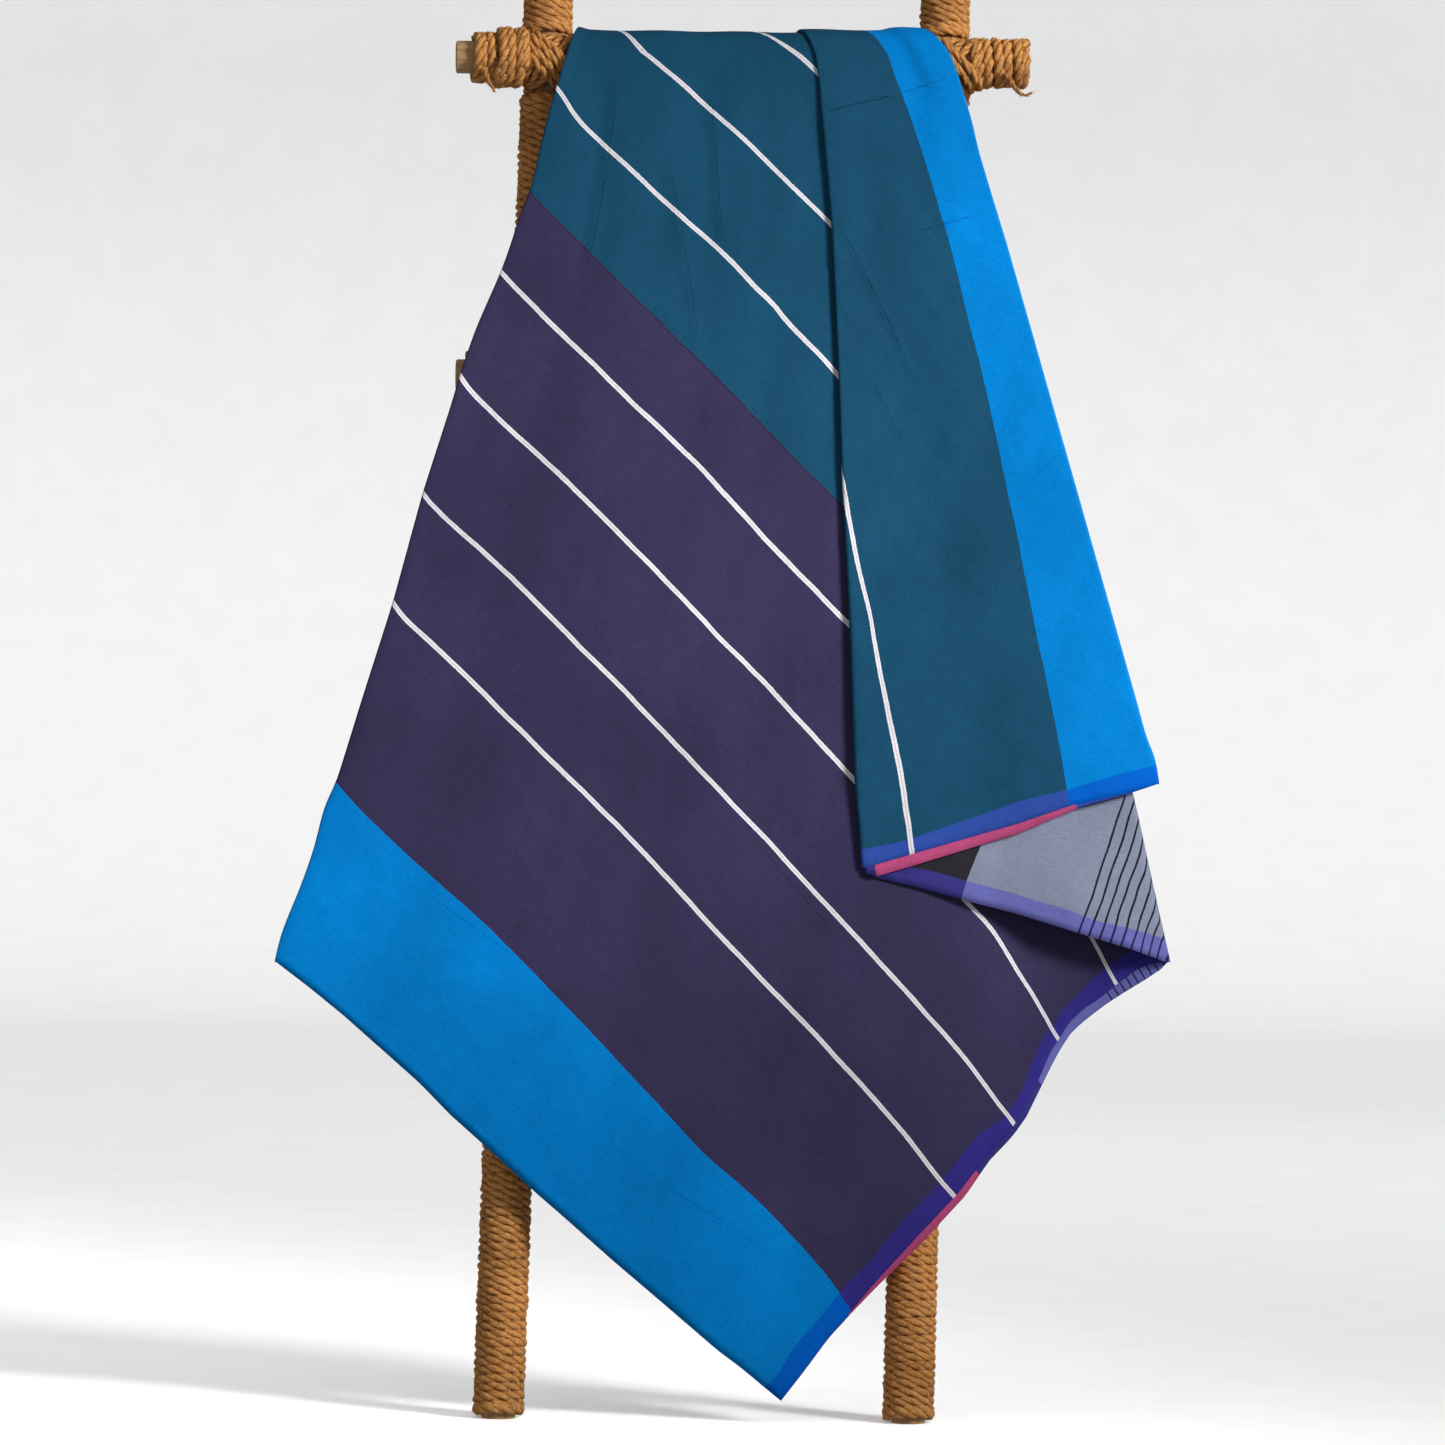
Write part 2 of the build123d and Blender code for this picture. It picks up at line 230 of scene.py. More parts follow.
T2 = {
    813.85: [(422.9, 657.9), (415.0, 636.9), (409.3, 618.5), (400.3, 589.8), (388.7, 553.2), (380.9, 532.3), (374.2, 513.5)],
    803.55: [(430.7, 648.6), (421.2, 616.1), (409.4, 582.1), (400.5, 552.3), (384.9, 511.5)],
    793.25: [(436.0, 630.9), (427.7, 600.5), (417.3, 570.2), (408.0, 542.0), (396.6, 508.6)],
    782.95: [(441.3, 610.1), (434.0, 583.9), (425.2, 558.8), (417.4, 537.9), (407.7, 505.6)],
    772.65: [(446.5, 587.7), (437.0, 561.6), (427.9, 532.8), (418.2, 501.6)],
    762.35: [(451.3, 564.3), (443.5, 542.4), (435.8, 518.4), (429.0, 499.1)],
    752.05: [(455.0, 544.6), (444.6, 517.5), (439.5, 495.6)],
    741.75: [(459.8, 528.0), (452.8, 511.3), (447.8, 491.5)],
    731.45: [(463.2, 513.5), (457.2, 490.6)],
    721.15: [(467.6, 491.8)],
    951: [(303.8, 693.0), (273.9, 609.1), (251.3, 547.3)],
    1056: [(154.0, 570.1)],
    1107: [(122.8, 996.4)],
    1207: [(91.0, 1439.4)],
    1059: [(147.6, 578.3)],
    1100: [(193.4, 1440.6)],
    1023: [(250.9, 1251.1)],
    918: [(339.1, 960.9)],
    1150: [(112.4, 1198.9)],
    806: [(430.6, 660.1)],
}
T3 = {
    1107: [(122.4, 987.9), (130.3, 945.7), (139.1, 903.5), (149.0, 861.4), (157.8, 819.3), (165.7, 777.4), (175.0, 735.5), (184.1, 693.7), (191.7, 651.9), (197.6, 610.2), (199.8, 593.6)],
    1274: [(168.9, 1440.3), (181.9, 1402.5), (213.4, 1312.1), (240.5, 1216.6), (260.0, 1139.7), (276.3, 1072.7), (292.6, 998.5), (309.9, 919.3), (327.1, 835.1), (343.3, 756.4), (352.9, 711.4), (364.7, 646.7)],
    1059: [(147.6, 578.3)],
    1080: [(132.7, 830.6)],
    1207: [(91.0, 1439.4)],
    1160: [(109.8, 1255.8)],
    1365: [(457.8, 669.8)],
    1352: [(397.4, 883.4)],
    1341: [(342.8, 1073.5)],
    1330: [(280.5, 1287.0)],
    1323: [(235.0, 1441.2)],
    1072: [(139.5, 665.9)],
}
S2 = {
    0: [(154.0, 570.1), (216.8, 556.3), (253.4, 546.3), (309.9, 532.5), (370.5, 514.5), (430.1, 497.6), (469.8, 484.5)],
    28: [(168.4, 595.3), (197.8, 580.0), (256.4, 566.1), (323.4, 548.2), (389.3, 527.2), (437.3, 516.3), (464.5, 508.4)],
    148: [(430.6, 660.1)],
    395: [(122.8, 996.4)],
    800: [(91.0, 1439.4)],
    862: [(193.4, 1440.6)],
    690: [(250.9, 1251.1)],
    430: [(339.1, 960.9)],
}
S3 = {
    28: [(146.4, 597.1), (194.4, 608.1), (256.0, 629.7), (309.3, 649.2), (361.5, 662.4), (455.7, 689.7)],
    10: [(147.6, 578.3), (199.8, 593.6), (309.4, 626.2), (367.9, 645.7)],
    6: [(429.6, 662.1)],
    5: [(457.8, 669.8)],
    395: [(122.8, 996.4)],
    800: [(91.0, 1439.4)],
    790: [(235.0, 1441.2)],
    600: [(280.5, 1287.0), (104.7, 1231.0)],
    400: [(342.8, 1073.5)],
    200: [(397.4, 878.1), (136.4, 780.1)],
}
# cam -6579.0 728.6181290487942
S1_FAR = [
    (-175.5, 1436.1, 1086.3),
    (-86.0, 1437.2, 1027.5),
    (10.0, 1438.4, 964.5),
    (105.9, 1439.6, 901.5),
    (-193.6, 1371.9, 1056.7),
    (-228.5, 1238.7, 993.4),
    (-265.9, 1141.8, 955.1),
    (-318.6, 966.6, 875.1),
    (-378.4, 747.6, 770.0),
    (-414.9, 637.2, 720.9),
    (-439.1, 549.3, 678.4),
    (-463.5, 473.2, 643.8),
    (-349.3, 382.2, 504.6),
    (-239.8, 282.6, 362.6),
    (-108.2, 167.5, 195.1),
    (2.3, 75.2, 57.4),
    (-29.3, 1175.7, 819.0),
    (-79.3, 962.1, 711.2),
    (78.8, 964.1, 606.2),
    (-128.0, 698.2, 567.7),
    (-24.6, 804.5, 569.1),
    (133.0, 806.4, 464.1),
    (-230.1, 540.4, 530.6),
    (-72.7, 490.4, 389.9),
    (83.2, 544.3, 320.6),
    (186.8, 649.8, 322.0),
    (-18.0, 283.2, 212.1),
    (136.9, 389.2, 178.5),
    (87.4, 180.3, 70.7),
]
S1_FOLD =  [(193.4, 1440.6, 862), (250.9, 1251.1, 690), (339.1, 960.9, 430), (430.6, 660.1, 148)]
TS0 =  [(-463.5, 473.2, 0, 644), (-260.8, 508.9, 0, 842), (-52.6, 547.8, 0, 1040), (145.5, 578.3, 0, 1240), (333.5, 607.7, 0, 1442), (306.3, 808.5, 200, 1442), (278.7, 1019.6, 395, 1442), (251.1, 1232.9, 595, 1442), (223.2, 1441.0, 790, 1442)]
D1 = [(-175.5, 1436.1, 2.0), (10.0, 1438.4, 2.0), (193.4, 1440.6, 2.0), (-95.6, 1368.7, 2.4), (106.7, 1360.4, 2.6), (-265.9, 1141.8, 4), (-347.9, 850.0, 4.5), (-403.8, 659.3, 5), (-463.5, 473.2, 4), (-80.7, 1068.3, 5), (-173.1, 897.5, 7), (-23.9, 751.9, 7), (-125.7, 541.7, 9), (-282.3, 539.8, 6), (-227.5, 384.8, 7), (-18.6, 335.3, 9), (84.3, 440.5, 8), (134.4, 649.1, 6), (127.2, 859.0, 5), (108.9, 1123.9, 4), (183.3, 1071.5, 4), (-349.3, 382.2, 5), (-155.6, 208.6, 9), (-58.8, 126.5, 11), (69.5, 22.9, 13), (140.3, 115.4, 8), (256.4, 243.9, 9), (189.6, 337.8, 9), (277.0, 442.8, 11), (276.4, 546.6, 9), (307.7, 301.8, 4), (340.4, 360.5, 0), (334.4, 443.5, -6), (355.2, 443.8, -12), (370.9, 427.4, -10), (396.7, 485.7, -14), (413.5, 460.0, -9), (439.5, 478.0, 0), (469.8, 484.5, 9), (430.6, 660.1, 6), (396.4, 589.7, -6), (339.1, 960.9, 4.5), (250.9, 1251.1, 3), (344.3, 547.4, -9), (291.4, 651.0, 3), (238.4, 755.1, 5), (374.8, 756.8, 2)]
D2 = [(193.4, 1440.6, 3.3), (91.0, 1439.4, 3.3), (339.1, 960.9, 8), (430.6, 660.1, 12), (448.7, 569.5, 13.5), (469.8, 484.5, 15), (122.8, 996.4, 8), (147.6, 578.3, 12), (187.5, 563.2, 16), (253.4, 546.3, 21), (309.9, 532.5, 24), (370.5, 514.5, 25), (430.1, 497.6, 21), (291.4, 651.0, 15), (226.3, 965.9, 8), (375.4, 589.5, 20), (182.1, 1232.0, 5)]
D3 = [(91.0, 1439.4, 5.9), (235.0, 1441.2, 5.9), (159.3, 1440.2, 5.9), (109.8, 1255.8, 8), (122.8, 996.4, 11.5), (139.5, 665.9, 16), (147.6, 578.3, 18), (199.8, 593.6, 20), (309.4, 626.2, 24), (367.9, 646.8, 26), (429.6, 661.1, 26), (457.8, 669.8, 22), (433.5, 757.5, 20), (342.8, 1073.5, 13), (257.7, 1371.0, 7.5), (182.1, 1232.0, 8.5), (215.4, 1018.8, 13), (248.5, 807.8, 19), (311.8, 756.0, 21)]
D0 = [(-463.5, 473.2, 1.6), (-175.5, 1436.1, 0.7), (223.2, 1441.0, 0.7), (10.0, 1438.4, 0.7), (-265.9, 1141.8, 1.6), (-347.9, 850.0, 1.8), (-403.8, 659.3, 2), (-125.7, 541.7, 4), (-80.7, 1068.3, 2.5), (-23.9, 751.9, 3), (187.2, 597.6, 2), (333.5, 607.7, -16), (278.7, 1019.6, 0), (132.5, 859.1, 2), (290.8, 755.8, -3)]

PX = 1.05  # the stripe places below are in units of 1.05 mm
CLOTH_W = 1442 * PX
CLOTH_L = 1442 * PX


def control(tables, scale=PX):
    pts, vals = [], []
    for value, line in tables.items():
        for p in line:
            pts.append(p)
            vals.append(value * scale)
    return pts, vals


def front_y(z):
    """The hung front surface, at the gap in front of the rungs, at height z."""
    pts = []
    for i, off in ((0, GAP_TOP), (1, GAP_LOW), (3, GAP_LOW)):
        pts.append((RUNG_Y - i * PITCH * SL / CL - off * CL, RUNG_Z - i * PITCH + off * SL))
    zz = np.array([p[1] for p in pts][::-1])
    yy = np.array([p[0] for p in pts][::-1])
    # the bend where the cloth leaves the lowest rung is rounded
    y = np.interp(z, zz, yy)
    for k in (-45, -30, -15, 15, 30, 45):
        y = y + np.interp(np.asarray(z, float) + k, zz, yy)
    return np.where(np.asarray(z) > zz[-1] - 60, np.interp(z, zz, yy), y / 7)


# which way and how far each panel lies in front of that surface, and where the weave's lines run on it
t1 = Spline2(*control(T1), 1e-6)
s1_pts, s1_vals = control({0: E1f, 28: BORD1})
for x, z, v in S1_FAR + S1_FOLD:
    s1_pts.append((x, z))
    s1_vals.append(v * PX)
s1 = Spline2(s1_pts, s1_vals, 5e-6)
t2 = Spline2(*control(T2), 1e-7)
s2 = Spline2(*control(S2), 1e-6)
t3 = Spline2(*control(T3), 1e-6)
s3 = Spline2(*control(S3), 1e-6)
ts0 = None
d1 = Spline2([p[:2] for p in D1], [p[2] for p in D1], 3e-4)
d2 = Spline2([p[:2] for p in D2], [p[2] for p in D2], 3e-4)
d3 = Spline2([p[:2] for p in D3], [p[2] for p in D3], 3e-4)
d0 = Spline2([p[:2] for p in D0], [p[2] for p in D0], 3e-4)

TOP_Z = RUNG_Z + GAP_TOP * SL
ARC = GAP_TOP * (math.pi - LEAN)  # from the front of the rung over to its back
TAIL_MID = 33.0


def close_top(line):
    """Runs a line, given bottom to top, on up to where the cloth starts to bend over the rung."""
    line = np.asarray(line, float)
    a, b = line[-2], line[-1]
    return np.concatenate([line[:-1], [b + (b - a) * (TOP_Z - b[1]) / (b[1] - a[1])]])


f1 = close_top(smooth_line(F1[::-1], 300, 15))
f2 = close_top(smooth_line(F2[::-1], 300, 31))
f3 = close_top(smooth_line(F3[::-1], 300, 21))
f4 = close_top(smooth_line(F4[::-1], 300, 15))
free4 = close_top(
    smooth_line([(f4[0][0] - 76, f4[0][1] - 5), (f4[120][0] - 88, f4[120][1]), (f4[-1][0] - 112, f4[-1][1])], 300, 3)
)
free0 = close_top(smooth_line(P0R, 300, 41))
P1_D, P2_D, P4_D, P3_D, P0_D = 2.0, 3.3, 4.6, 5.9, 0.7  # how far each layer lies above the rung's rope

NV, NA, NT = 112, 12, 30  # rows from hem to rung, over the rung, and down behind it
vr = np.linspace(0, 1, NV)

f1_pts = np.asarray(f1)[::12]
ts_pts = [p[:2] for p in TS0] + [tuple(p) for p in f1_pts]
ts_vals = [(p[2] * PX, p[3] * PX) for p in TS0]
ft, fs = t1(f1_pts[:, 0], f1_pts[:, 1])[0], s1(f1_pts[:, 0], f1_pts[:, 1])[0]
ts_vals += list(zip(ft, fs))
ts0 = Spline2(ts_pts, ts_vals, 3e-4)


def smax(a, b, k=1.0):
    return 0.5 * (a + b + np.sqrt((a - b) ** 2 + k * k))


def rung_blend(d, level, z):
    e = ease(TOP_Z - 90, TOP_Z, z)
    return d * (1 - e) + level * e


def depth1(x, z):
    return rung_blend(d1(x, z)[0], P1_D, z)


def depth0(x, z):
    return rung_blend(-smax(-d0(x, z)[0], -(depth1(x, z) - 2.4)), P0_D, z)


def depth2(x, z):
    return rung_blend(smax(d2(x, z)[0], depth1(x, z) + 2.2), P2_D, z)


def depth3(x, z):
    return rung_blend(smax(d3(x, z)[0], depth2(x, z) + 4.2), P3_D, z)


def depth4(x, z):
    return rung_blend(0.5 * (depth2(x, z) + depth3(x, z)), P4_D, z)


wide = waves(11, 12, 130, 420)
fine = waves(12, 16, 28, 85, 1.2)
crinkle = waves(13, 14, 16, 40, 1.0)

# creases seen on the cloth: from, to, height, half-width (mm)
CREASES = [
    ((100.5, 1379.5), (177.0, 1399.0), 1.3, 3.4),
    ((177.0, 1399.0), (233.0, 1419.0), 1.0, 3.0),
    ((200.0, 1252.0), (261.0, 1270.0), 0.9, 3.2),
    ((107.0, 1214.0), (130.0, 1218.0), 0.8, 3.0),
    ((122.0, 1250.0), (159.0, 1178.0), 0.9, 3.4),
    ((159.0, 1178.0), (195.0, 1102.0), 0.8, 3.0),
    ((148.0, 1100.0), (190.0, 1020.0), 0.5, 3.2),
    ((-66.0, 1330.0), (-30.0, 1120.0), 0.6, 5.0),
    ((-20.0, 1400.0), (-6.0, 1230.0), 0.6, 5.0),
    ((-120.0, 1400.0), (-150.0, 1200.0), 0.7, 5.5),
    ((40.0, 600.0), (128.0, 500.0), 0.7, 4.5),
    ((-250.0, 980.0), (-205.0, 930.0), 0.6, 4.0),
    ((-330.0, 560.0), (-150.0, 430.0), 0.5, 6.0),
    ((-60.0, 250.0), (60.0, 170.0), 0.5, 6.0),
]


def crease(x, z):
    out = np.zeros(np.shape(x))
    for (ax, az), (bx, bz), h, w in CREASES:
        ux, uz = bx - ax, bz - az
        n = math.hypot(ux, uz)
        k = ((x - ax) * ux + (z - az) * uz) / (n * n)
        off = ((x - ax) * uz - (z - az) * ux) / n
        body = ease(-0.08, 0.12, k) * (1 - ease(0.88, 1.08, k))
        out = out + h * body * (np.exp(-((off / w) ** 2)) - 0.55 * np.exp(-(((off - 1.9 * w) / (1.3 * w)) ** 2)))
    return out


def relief(x, z):
    """How the whole stack of layers swells and dips, in mm towards the camera."""
    x, z = np.asarray(x, float), np.asarray(z, float)
    fade = 1 - ease(TOP_Z - 130, TOP_Z - 10, z)
    low = 1 - ease(250, 1300, z)
    # flutes fan out from the rung
    reach = np.maximum(TOP_Z + 420 - z, 60)
    ang = np.arctan2(x - 20, reach)
    flute = (
        np.sin(ang * 23 + 0.6) * 2.0 + np.sin(ang * 41 + 2.1 + z / 900) * 1.1 + np.sin(ang * 67 + 4.0 - z / 700) * 0.55
    )
    top = ease(TOP_Z - 330, TOP_Z - 40, z) * (1 - ease(TOP_Z - 26, TOP_Z - 2, z))
    gather = (np.sin(x / 17.0 + 0.4) + 0.6 * np.sin(x / 9.1 + 1.3)) * 0.7 * top
    return (
        fade * (wide(x, z) * 1.9 + flute * (0.35 + 0.75 * low) + fine(x, z) * 0.42 + crinkle(x, z) * 0.10)
        + gather
        + crease(x, z)
    )


def outward(line, side):
    """Unit normals of a line given bottom to top; side +1 points to +X."""
    g = np.gradient(line, axis=0)
    n = np.stack([g[:, 1], -g[:, 0]], axis=1)
    n /= np.linalg.norm(n, axis=1)[:, None]
    k = np.ones(9) / 9
    n = np.stack([np.convolve(np.pad(n[:, j], 4, mode="edge"), k, "valid") for j in (0, 1)], axis=1)
    return n * side


def patch(L, R, bottom, u):
    Bt = along(bottom, u)
    Bt = Bt + ((1 - u) ** 6)[:, None] * (L[0] - Bt[0]) + (u**6)[:, None] * (R[0] - Bt[-1])
    T = L[-1] + (R[-1] - L[-1]) * u[:, None]
    v = vr[:, None, None]
    w = u[None, :, None]
    c00, c10, c01, c11 = Bt[0], Bt[-1], L[-1], R[-1]
    p = (1 - v) * Bt[None] + v * T[None] + (1 - w) * L[:, None] + w * R[:, None]
    p = p - ((1 - w) * (1 - v) * c00 + w * (1 - v) * c10 + (1 - w) * v * c01 + w * v * c11)
    return p[..., 0], p[..., 1]


def weave_grid(backing):
    """The pleated cloth's middle surface: x, y, z (mm) and its own t and s (mm) at each row and column."""
    l1, l2, l3, l4 = (along(f, vr) for f in (f1, f2, f3, f4))
    e4, e0 = along(free4, vr), along(free0, vr)
    hem1 = np.concatenate([np.asarray(B), np.asarray(E1b if backing else E1f)[1:]])
    p2b = np.asarray(P2B, float)[::-1].copy()
    if not backing:
        u = np.linspace(0, 1, 40)
        p2b = along(p2b, u)
        p2b[:, 1] += 8.5 * np.sin(math.pi * u) ** 0.5
    hem3 = np.asarray(P3Bk if backing else P3F, float)
    if backing:
        l3 = l3 + np.outer((1 - vr) ** 14, (3.2, -6.0))
    hem4 = np.array([f4[0], free4[0]])
    hem0 = np.array(P0E, float)[::-1]

    def edge(line, side, da, db):
        a, b = da(line[:, 0], line[:, 1]), db(line[:, 0], line[:, 1])
        return outward(line, side), np.abs(b - a) / 2, a, b

    k = 5
    th = np.linspace(-math.pi / 2, math.pi / 2, k + 2)[1:-1]

    cols = []  # (x, z, depth, t, s) of each panel or fold, rows by columns

    def fold(line, side, da, db, uva, uvb):
        n, r, a, b = edge(line, side, da, db)
        x = line[:, 0, None] + n[:, 0, None] * r[:, None] * (np.cos(th) - 1)
        z = line[:, 1, None] + n[:, 1, None] * r[:, None] * (np.cos(th) - 1)
        d = ((a + b) / 2)[:, None] + ((b - a) / 2)[:, None] * np.sin(th)
        f = ((th / math.pi) + 0.5)[None, :]
        t = uva[0][:, None] * (1 - f) + uvb[0][:, None] * f
        s = uva[1][:, None] * (1 - f) + uvb[1][:, None] * f
        cols.append((x, z, d, t, s))

    def shifted(line, side, da, db):
        n, r, a, b = edge(line, side, da, db)
        return line - n * r[:, None]

    i1, i2, i3, i4 = (
        shifted(l1, -1, depth0, depth1),
        shifted(l2, 1, depth1, depth2),
        shifted(l3, -1, depth2, depth3),
        shifted(l4, 1, depth3, depth4),
    )

    def uv1(x, z):
        return t1(x, z)[0], s1(x, z)[0]

    def uv2(x, z):
        return t2(x, z)[0], s2(x, z)[0]

    def uv3(x, z):
        return t3(x, z)[0], s3(x, z)[0]

    # P0, from its free edge to the left fold
    x, z = patch(e0, i1, hem0, np.linspace(0, 1, 40))
    t, s = ts0(x, z)
    cols.append((x, z, depth0(x, z), t, s))
    fold(l1, -1, depth0, depth1, ts0(i1[:, 0], i1[:, 1]), uv1(l1[:, 0], l1[:, 1]))
    # P1, the main panel; a column lies on the bottom tip
    seg = np.linalg.norm(np.diff(hem1, axis=0), axis=1)
    tip = seg[: len(B) - 1].sum() / seg.sum()
    u = np.concatenate([np.linspace(0, tip, 70), np.linspace(tip, 1, 64)[1:]])
    x, z = patch(i1, i2, hem1, u)
    t, s = uv1(x, z)
    cols.append((x, z, depth1(x, z), t, s))
    a, b = uv1(i2[:, 0], i2[:, 1]), uv2(i2[:, 0], i2[:, 1])
    fold(l2, 1, depth1, depth2, a, b)
    # P2, behind the flap; its wrong side shows
    x, z = patch(i2, i3, p2b, np.linspace(0, 1, 50))
    t, s = uv2(x, z)
    cols.append((x, z, depth2(x, z), t, s))
    fold(l3, -1, depth2, depth3, uv2(i3[:, 0], i3[:, 1]), uv3(i3[:, 0], i3[:, 1]))
    # P3, the flap
    x, z = patch(i3, i4, hem3, np.linspace(0, 1, 66))
    t, s = uv3(x, z)
    cols.append((x, z, depth3(x, z), t, s))
    t4, s4 = uv3(i4[:, 0], i4[:, 1])
    fold(l4, 1, depth3, depth4, (t4, s4), (t4 + 2, s4))
    # P4, what is turned in behind the flap
    u = np.linspace(0, 1, 13)
    x, z = patch(i4, e4, hem4, u)
    t = t4[:, None] + 2 + (CLOTH_W - t4[:, None] - 2) * u
    cols.append((x, z, depth4(x, z), t, s4[:, None] + 0 * u))

    x, z, d, t, s = (np.concatenate([c[i] for c in cols], axis=1) for i in range(5))
    # in front: depth to y, keeping each point's place as the camera sees it
    bump = 3.6 * (ease(186, 208, x[-1]) + ease(-158, -178, x[-1]))
    d = d + bump * ease(TOP_Z - 70, TOP_Z - 8, z)
    y = front_y(z) - d - relief(x, z)
    ratio = (y - CAM_Y) / (front_y(z) - 3 - CAM_Y)
    xf, zf = x * ratio, CAM_Z + (z - CAM_Z) * ratio

    # over the rung and down behind it
    x0, d_top = x[-1], d[-1]
    dx, dz = xf[-1] - x[-1], zf[-1] - z[-1]
    g = np.stack([(t[-1] - t[-4]), (s[-1] - s[-4])]) / np.hypot(z[-1] - z[-4], x[-1] - x[-4])
    g = np.stack([np.convolve(np.pad(q, 6, mode="edge"), np.ones(13) / 13, "valid") for q in g])
    # each layer runs on straight, in one direction of its own, eased across the folds
    turn = np.sign(np.gradient(x0))
    start = 0
    for cut in list(np.flatnonzero(np.diff(turn) != 0)) + [len(x0) - 1]:
        if cut + 1 - start > 12:
            g[:, start : cut + 1] = g[:, start : cut + 1].mean(axis=1, keepdims=True)
        start = cut + 1
    g = np.stack([np.convolve(np.pad(q, 4, mode="edge"), np.ones(9) / 9, "valid") for q in g])
    g /= np.hypot(*g)
    a_end = np.full(len(x0), 685.0)
    for val, lim, q in ((t[-1], CLOTH_W, g[0]), (s[-1], CLOTH_L, g[1])):
        a_end = np.minimum(a_end, np.where(q > 0.02, (lim - val) / np.maximum(q, 0.02), 685.0))
    a_end = np.clip(a_end, 150.0, 685.0)
    a_end = np.convolve(np.pad(a_end, 2, mode="edge"), np.ones(5) / 5, "valid")
    rows_x, rows_y, rows_z, rows_t, rows_s = [], [], [], [], []
    ripple = waves(21, 8, 90, 260)
    for i in range(NA + NT):
        if i < NA:
            a = np.full(len(x0), ARC * (i + 1) / NA)
        else:
            a = ARC + (a_end - ARC) * ((i - NA + 1) / NT)
        lo = np.interp(a, [0, 18, 40, 62, 85, 400, 700], [-175.5, -169, -163.5, -158, -153, -140, -128])
        hi = np.interp(a, [0, 18, 40, 62, 85, 400, 700], [235, 219, 201, 187, 178, 170, 160])
        f = (x0 + 175.5) / 410.5
        xx = lo + f * (hi - lo)
        down = np.maximum(a - ARC, 0)
        phi = math.pi - LEAN - np.minimum(a, ARC) / GAP_TOP
        grow = d_top * 0.9 * (1 - np.exp(-down / 160)) + (0.5 * ripple(xx, down) + 0.5) * 7 * ease(0, 420, down)
        fadeb = 1 - ease(0.55 * ARC, ARC, a)
        rad = GAP_TOP + d_top - bump * (1 - fadeb)
        gather = 0.5 * np.sin(x0 / 15.0 + 0.4) * np.sin(math.pi * np.minimum(a / ARC, 1))
        rows_x.append(xx + dx)
        rows_y.append(RUNG_Y + (rad + gather) * np.cos(phi) + grow * (down > 0))
        rows_z.append(RUNG_Z + (rad + gather) * np.sin(phi) - down + dz)
        rows_t.append(t[-1] + g[0] * a)
        rows_s.append(s[-1] + g[1] * a)
    X = np.concatenate([xf, rows_x])
    Y = np.concatenate([y, rows_y])
    Z = np.concatenate([zf, rows_z])
    T = np.concatenate([t, rows_t])
    S = np.concatenate([s, rows_s])
    return X, Y, Z, T, S


def sheet_object(name, backing, lo, hi):
    """A closed sheet between the two heights lo and hi (mm) above the middle surface, towards the face side."""
    X, Y, Z, T, S = weave_grid(backing)
    P = np.stack([X, Y, Z], axis=-1)
    du = np.gradient(P, axis=1)
    dv = np.gradient(P, axis=0)
    n = np.cross(du, dv)
    n /= np.maximum(np.linalg.norm(n, axis=-1), 1e-9)[..., None]
    nr, nc = X.shape
    outer, inner = P + n * hi, P + n * lo
    q = grid_faces(nr, nc)
    m = nr * nc
    rim = np.concatenate(
        [
            np.arange(nc),
            np.arange(1, nr) * nc + nc - 1,
            (nr - 1) * nc + np.arange(nc - 2, -1, -1),
            np.arange(nr - 2, 0, -1) * nc,
        ]
    )
    nxt = np.roll(rim, -1)
    rims = np.stack([rim, rim + m, nxt + m, nxt], axis=1)
    verts = np.concatenate([outer.reshape(-1, 3), inner.reshape(-1, 3)])
    uv = np.stack([T, S], axis=-1).reshape(-1, 2) / MM
    ob = mesh_object(
        name, verts, [q, q[:, ::-1] + m, rims], uv=np.concatenate([uv, uv]), attrs=None
    )
    flat = np.ones(len(ob.data.polygons), dtype=bool)
    flat[2 * len(q) :] = False
    ob.data.polygons.foreach_set("use_smooth", flat)
    ob.data.update()
    area = sum(p.area for p in ob.data.polygons) / 2
    print("sheet", name, "faces", len(ob.data.polygons), "area m2", round(area, 3))
    return ob


face = sheet_object("cloth_face", False, 0.12, 0.5)
backing = sheet_object("cloth_backing", True, -0.5, -0.12)

# ------------------------------------------------------------------ materials


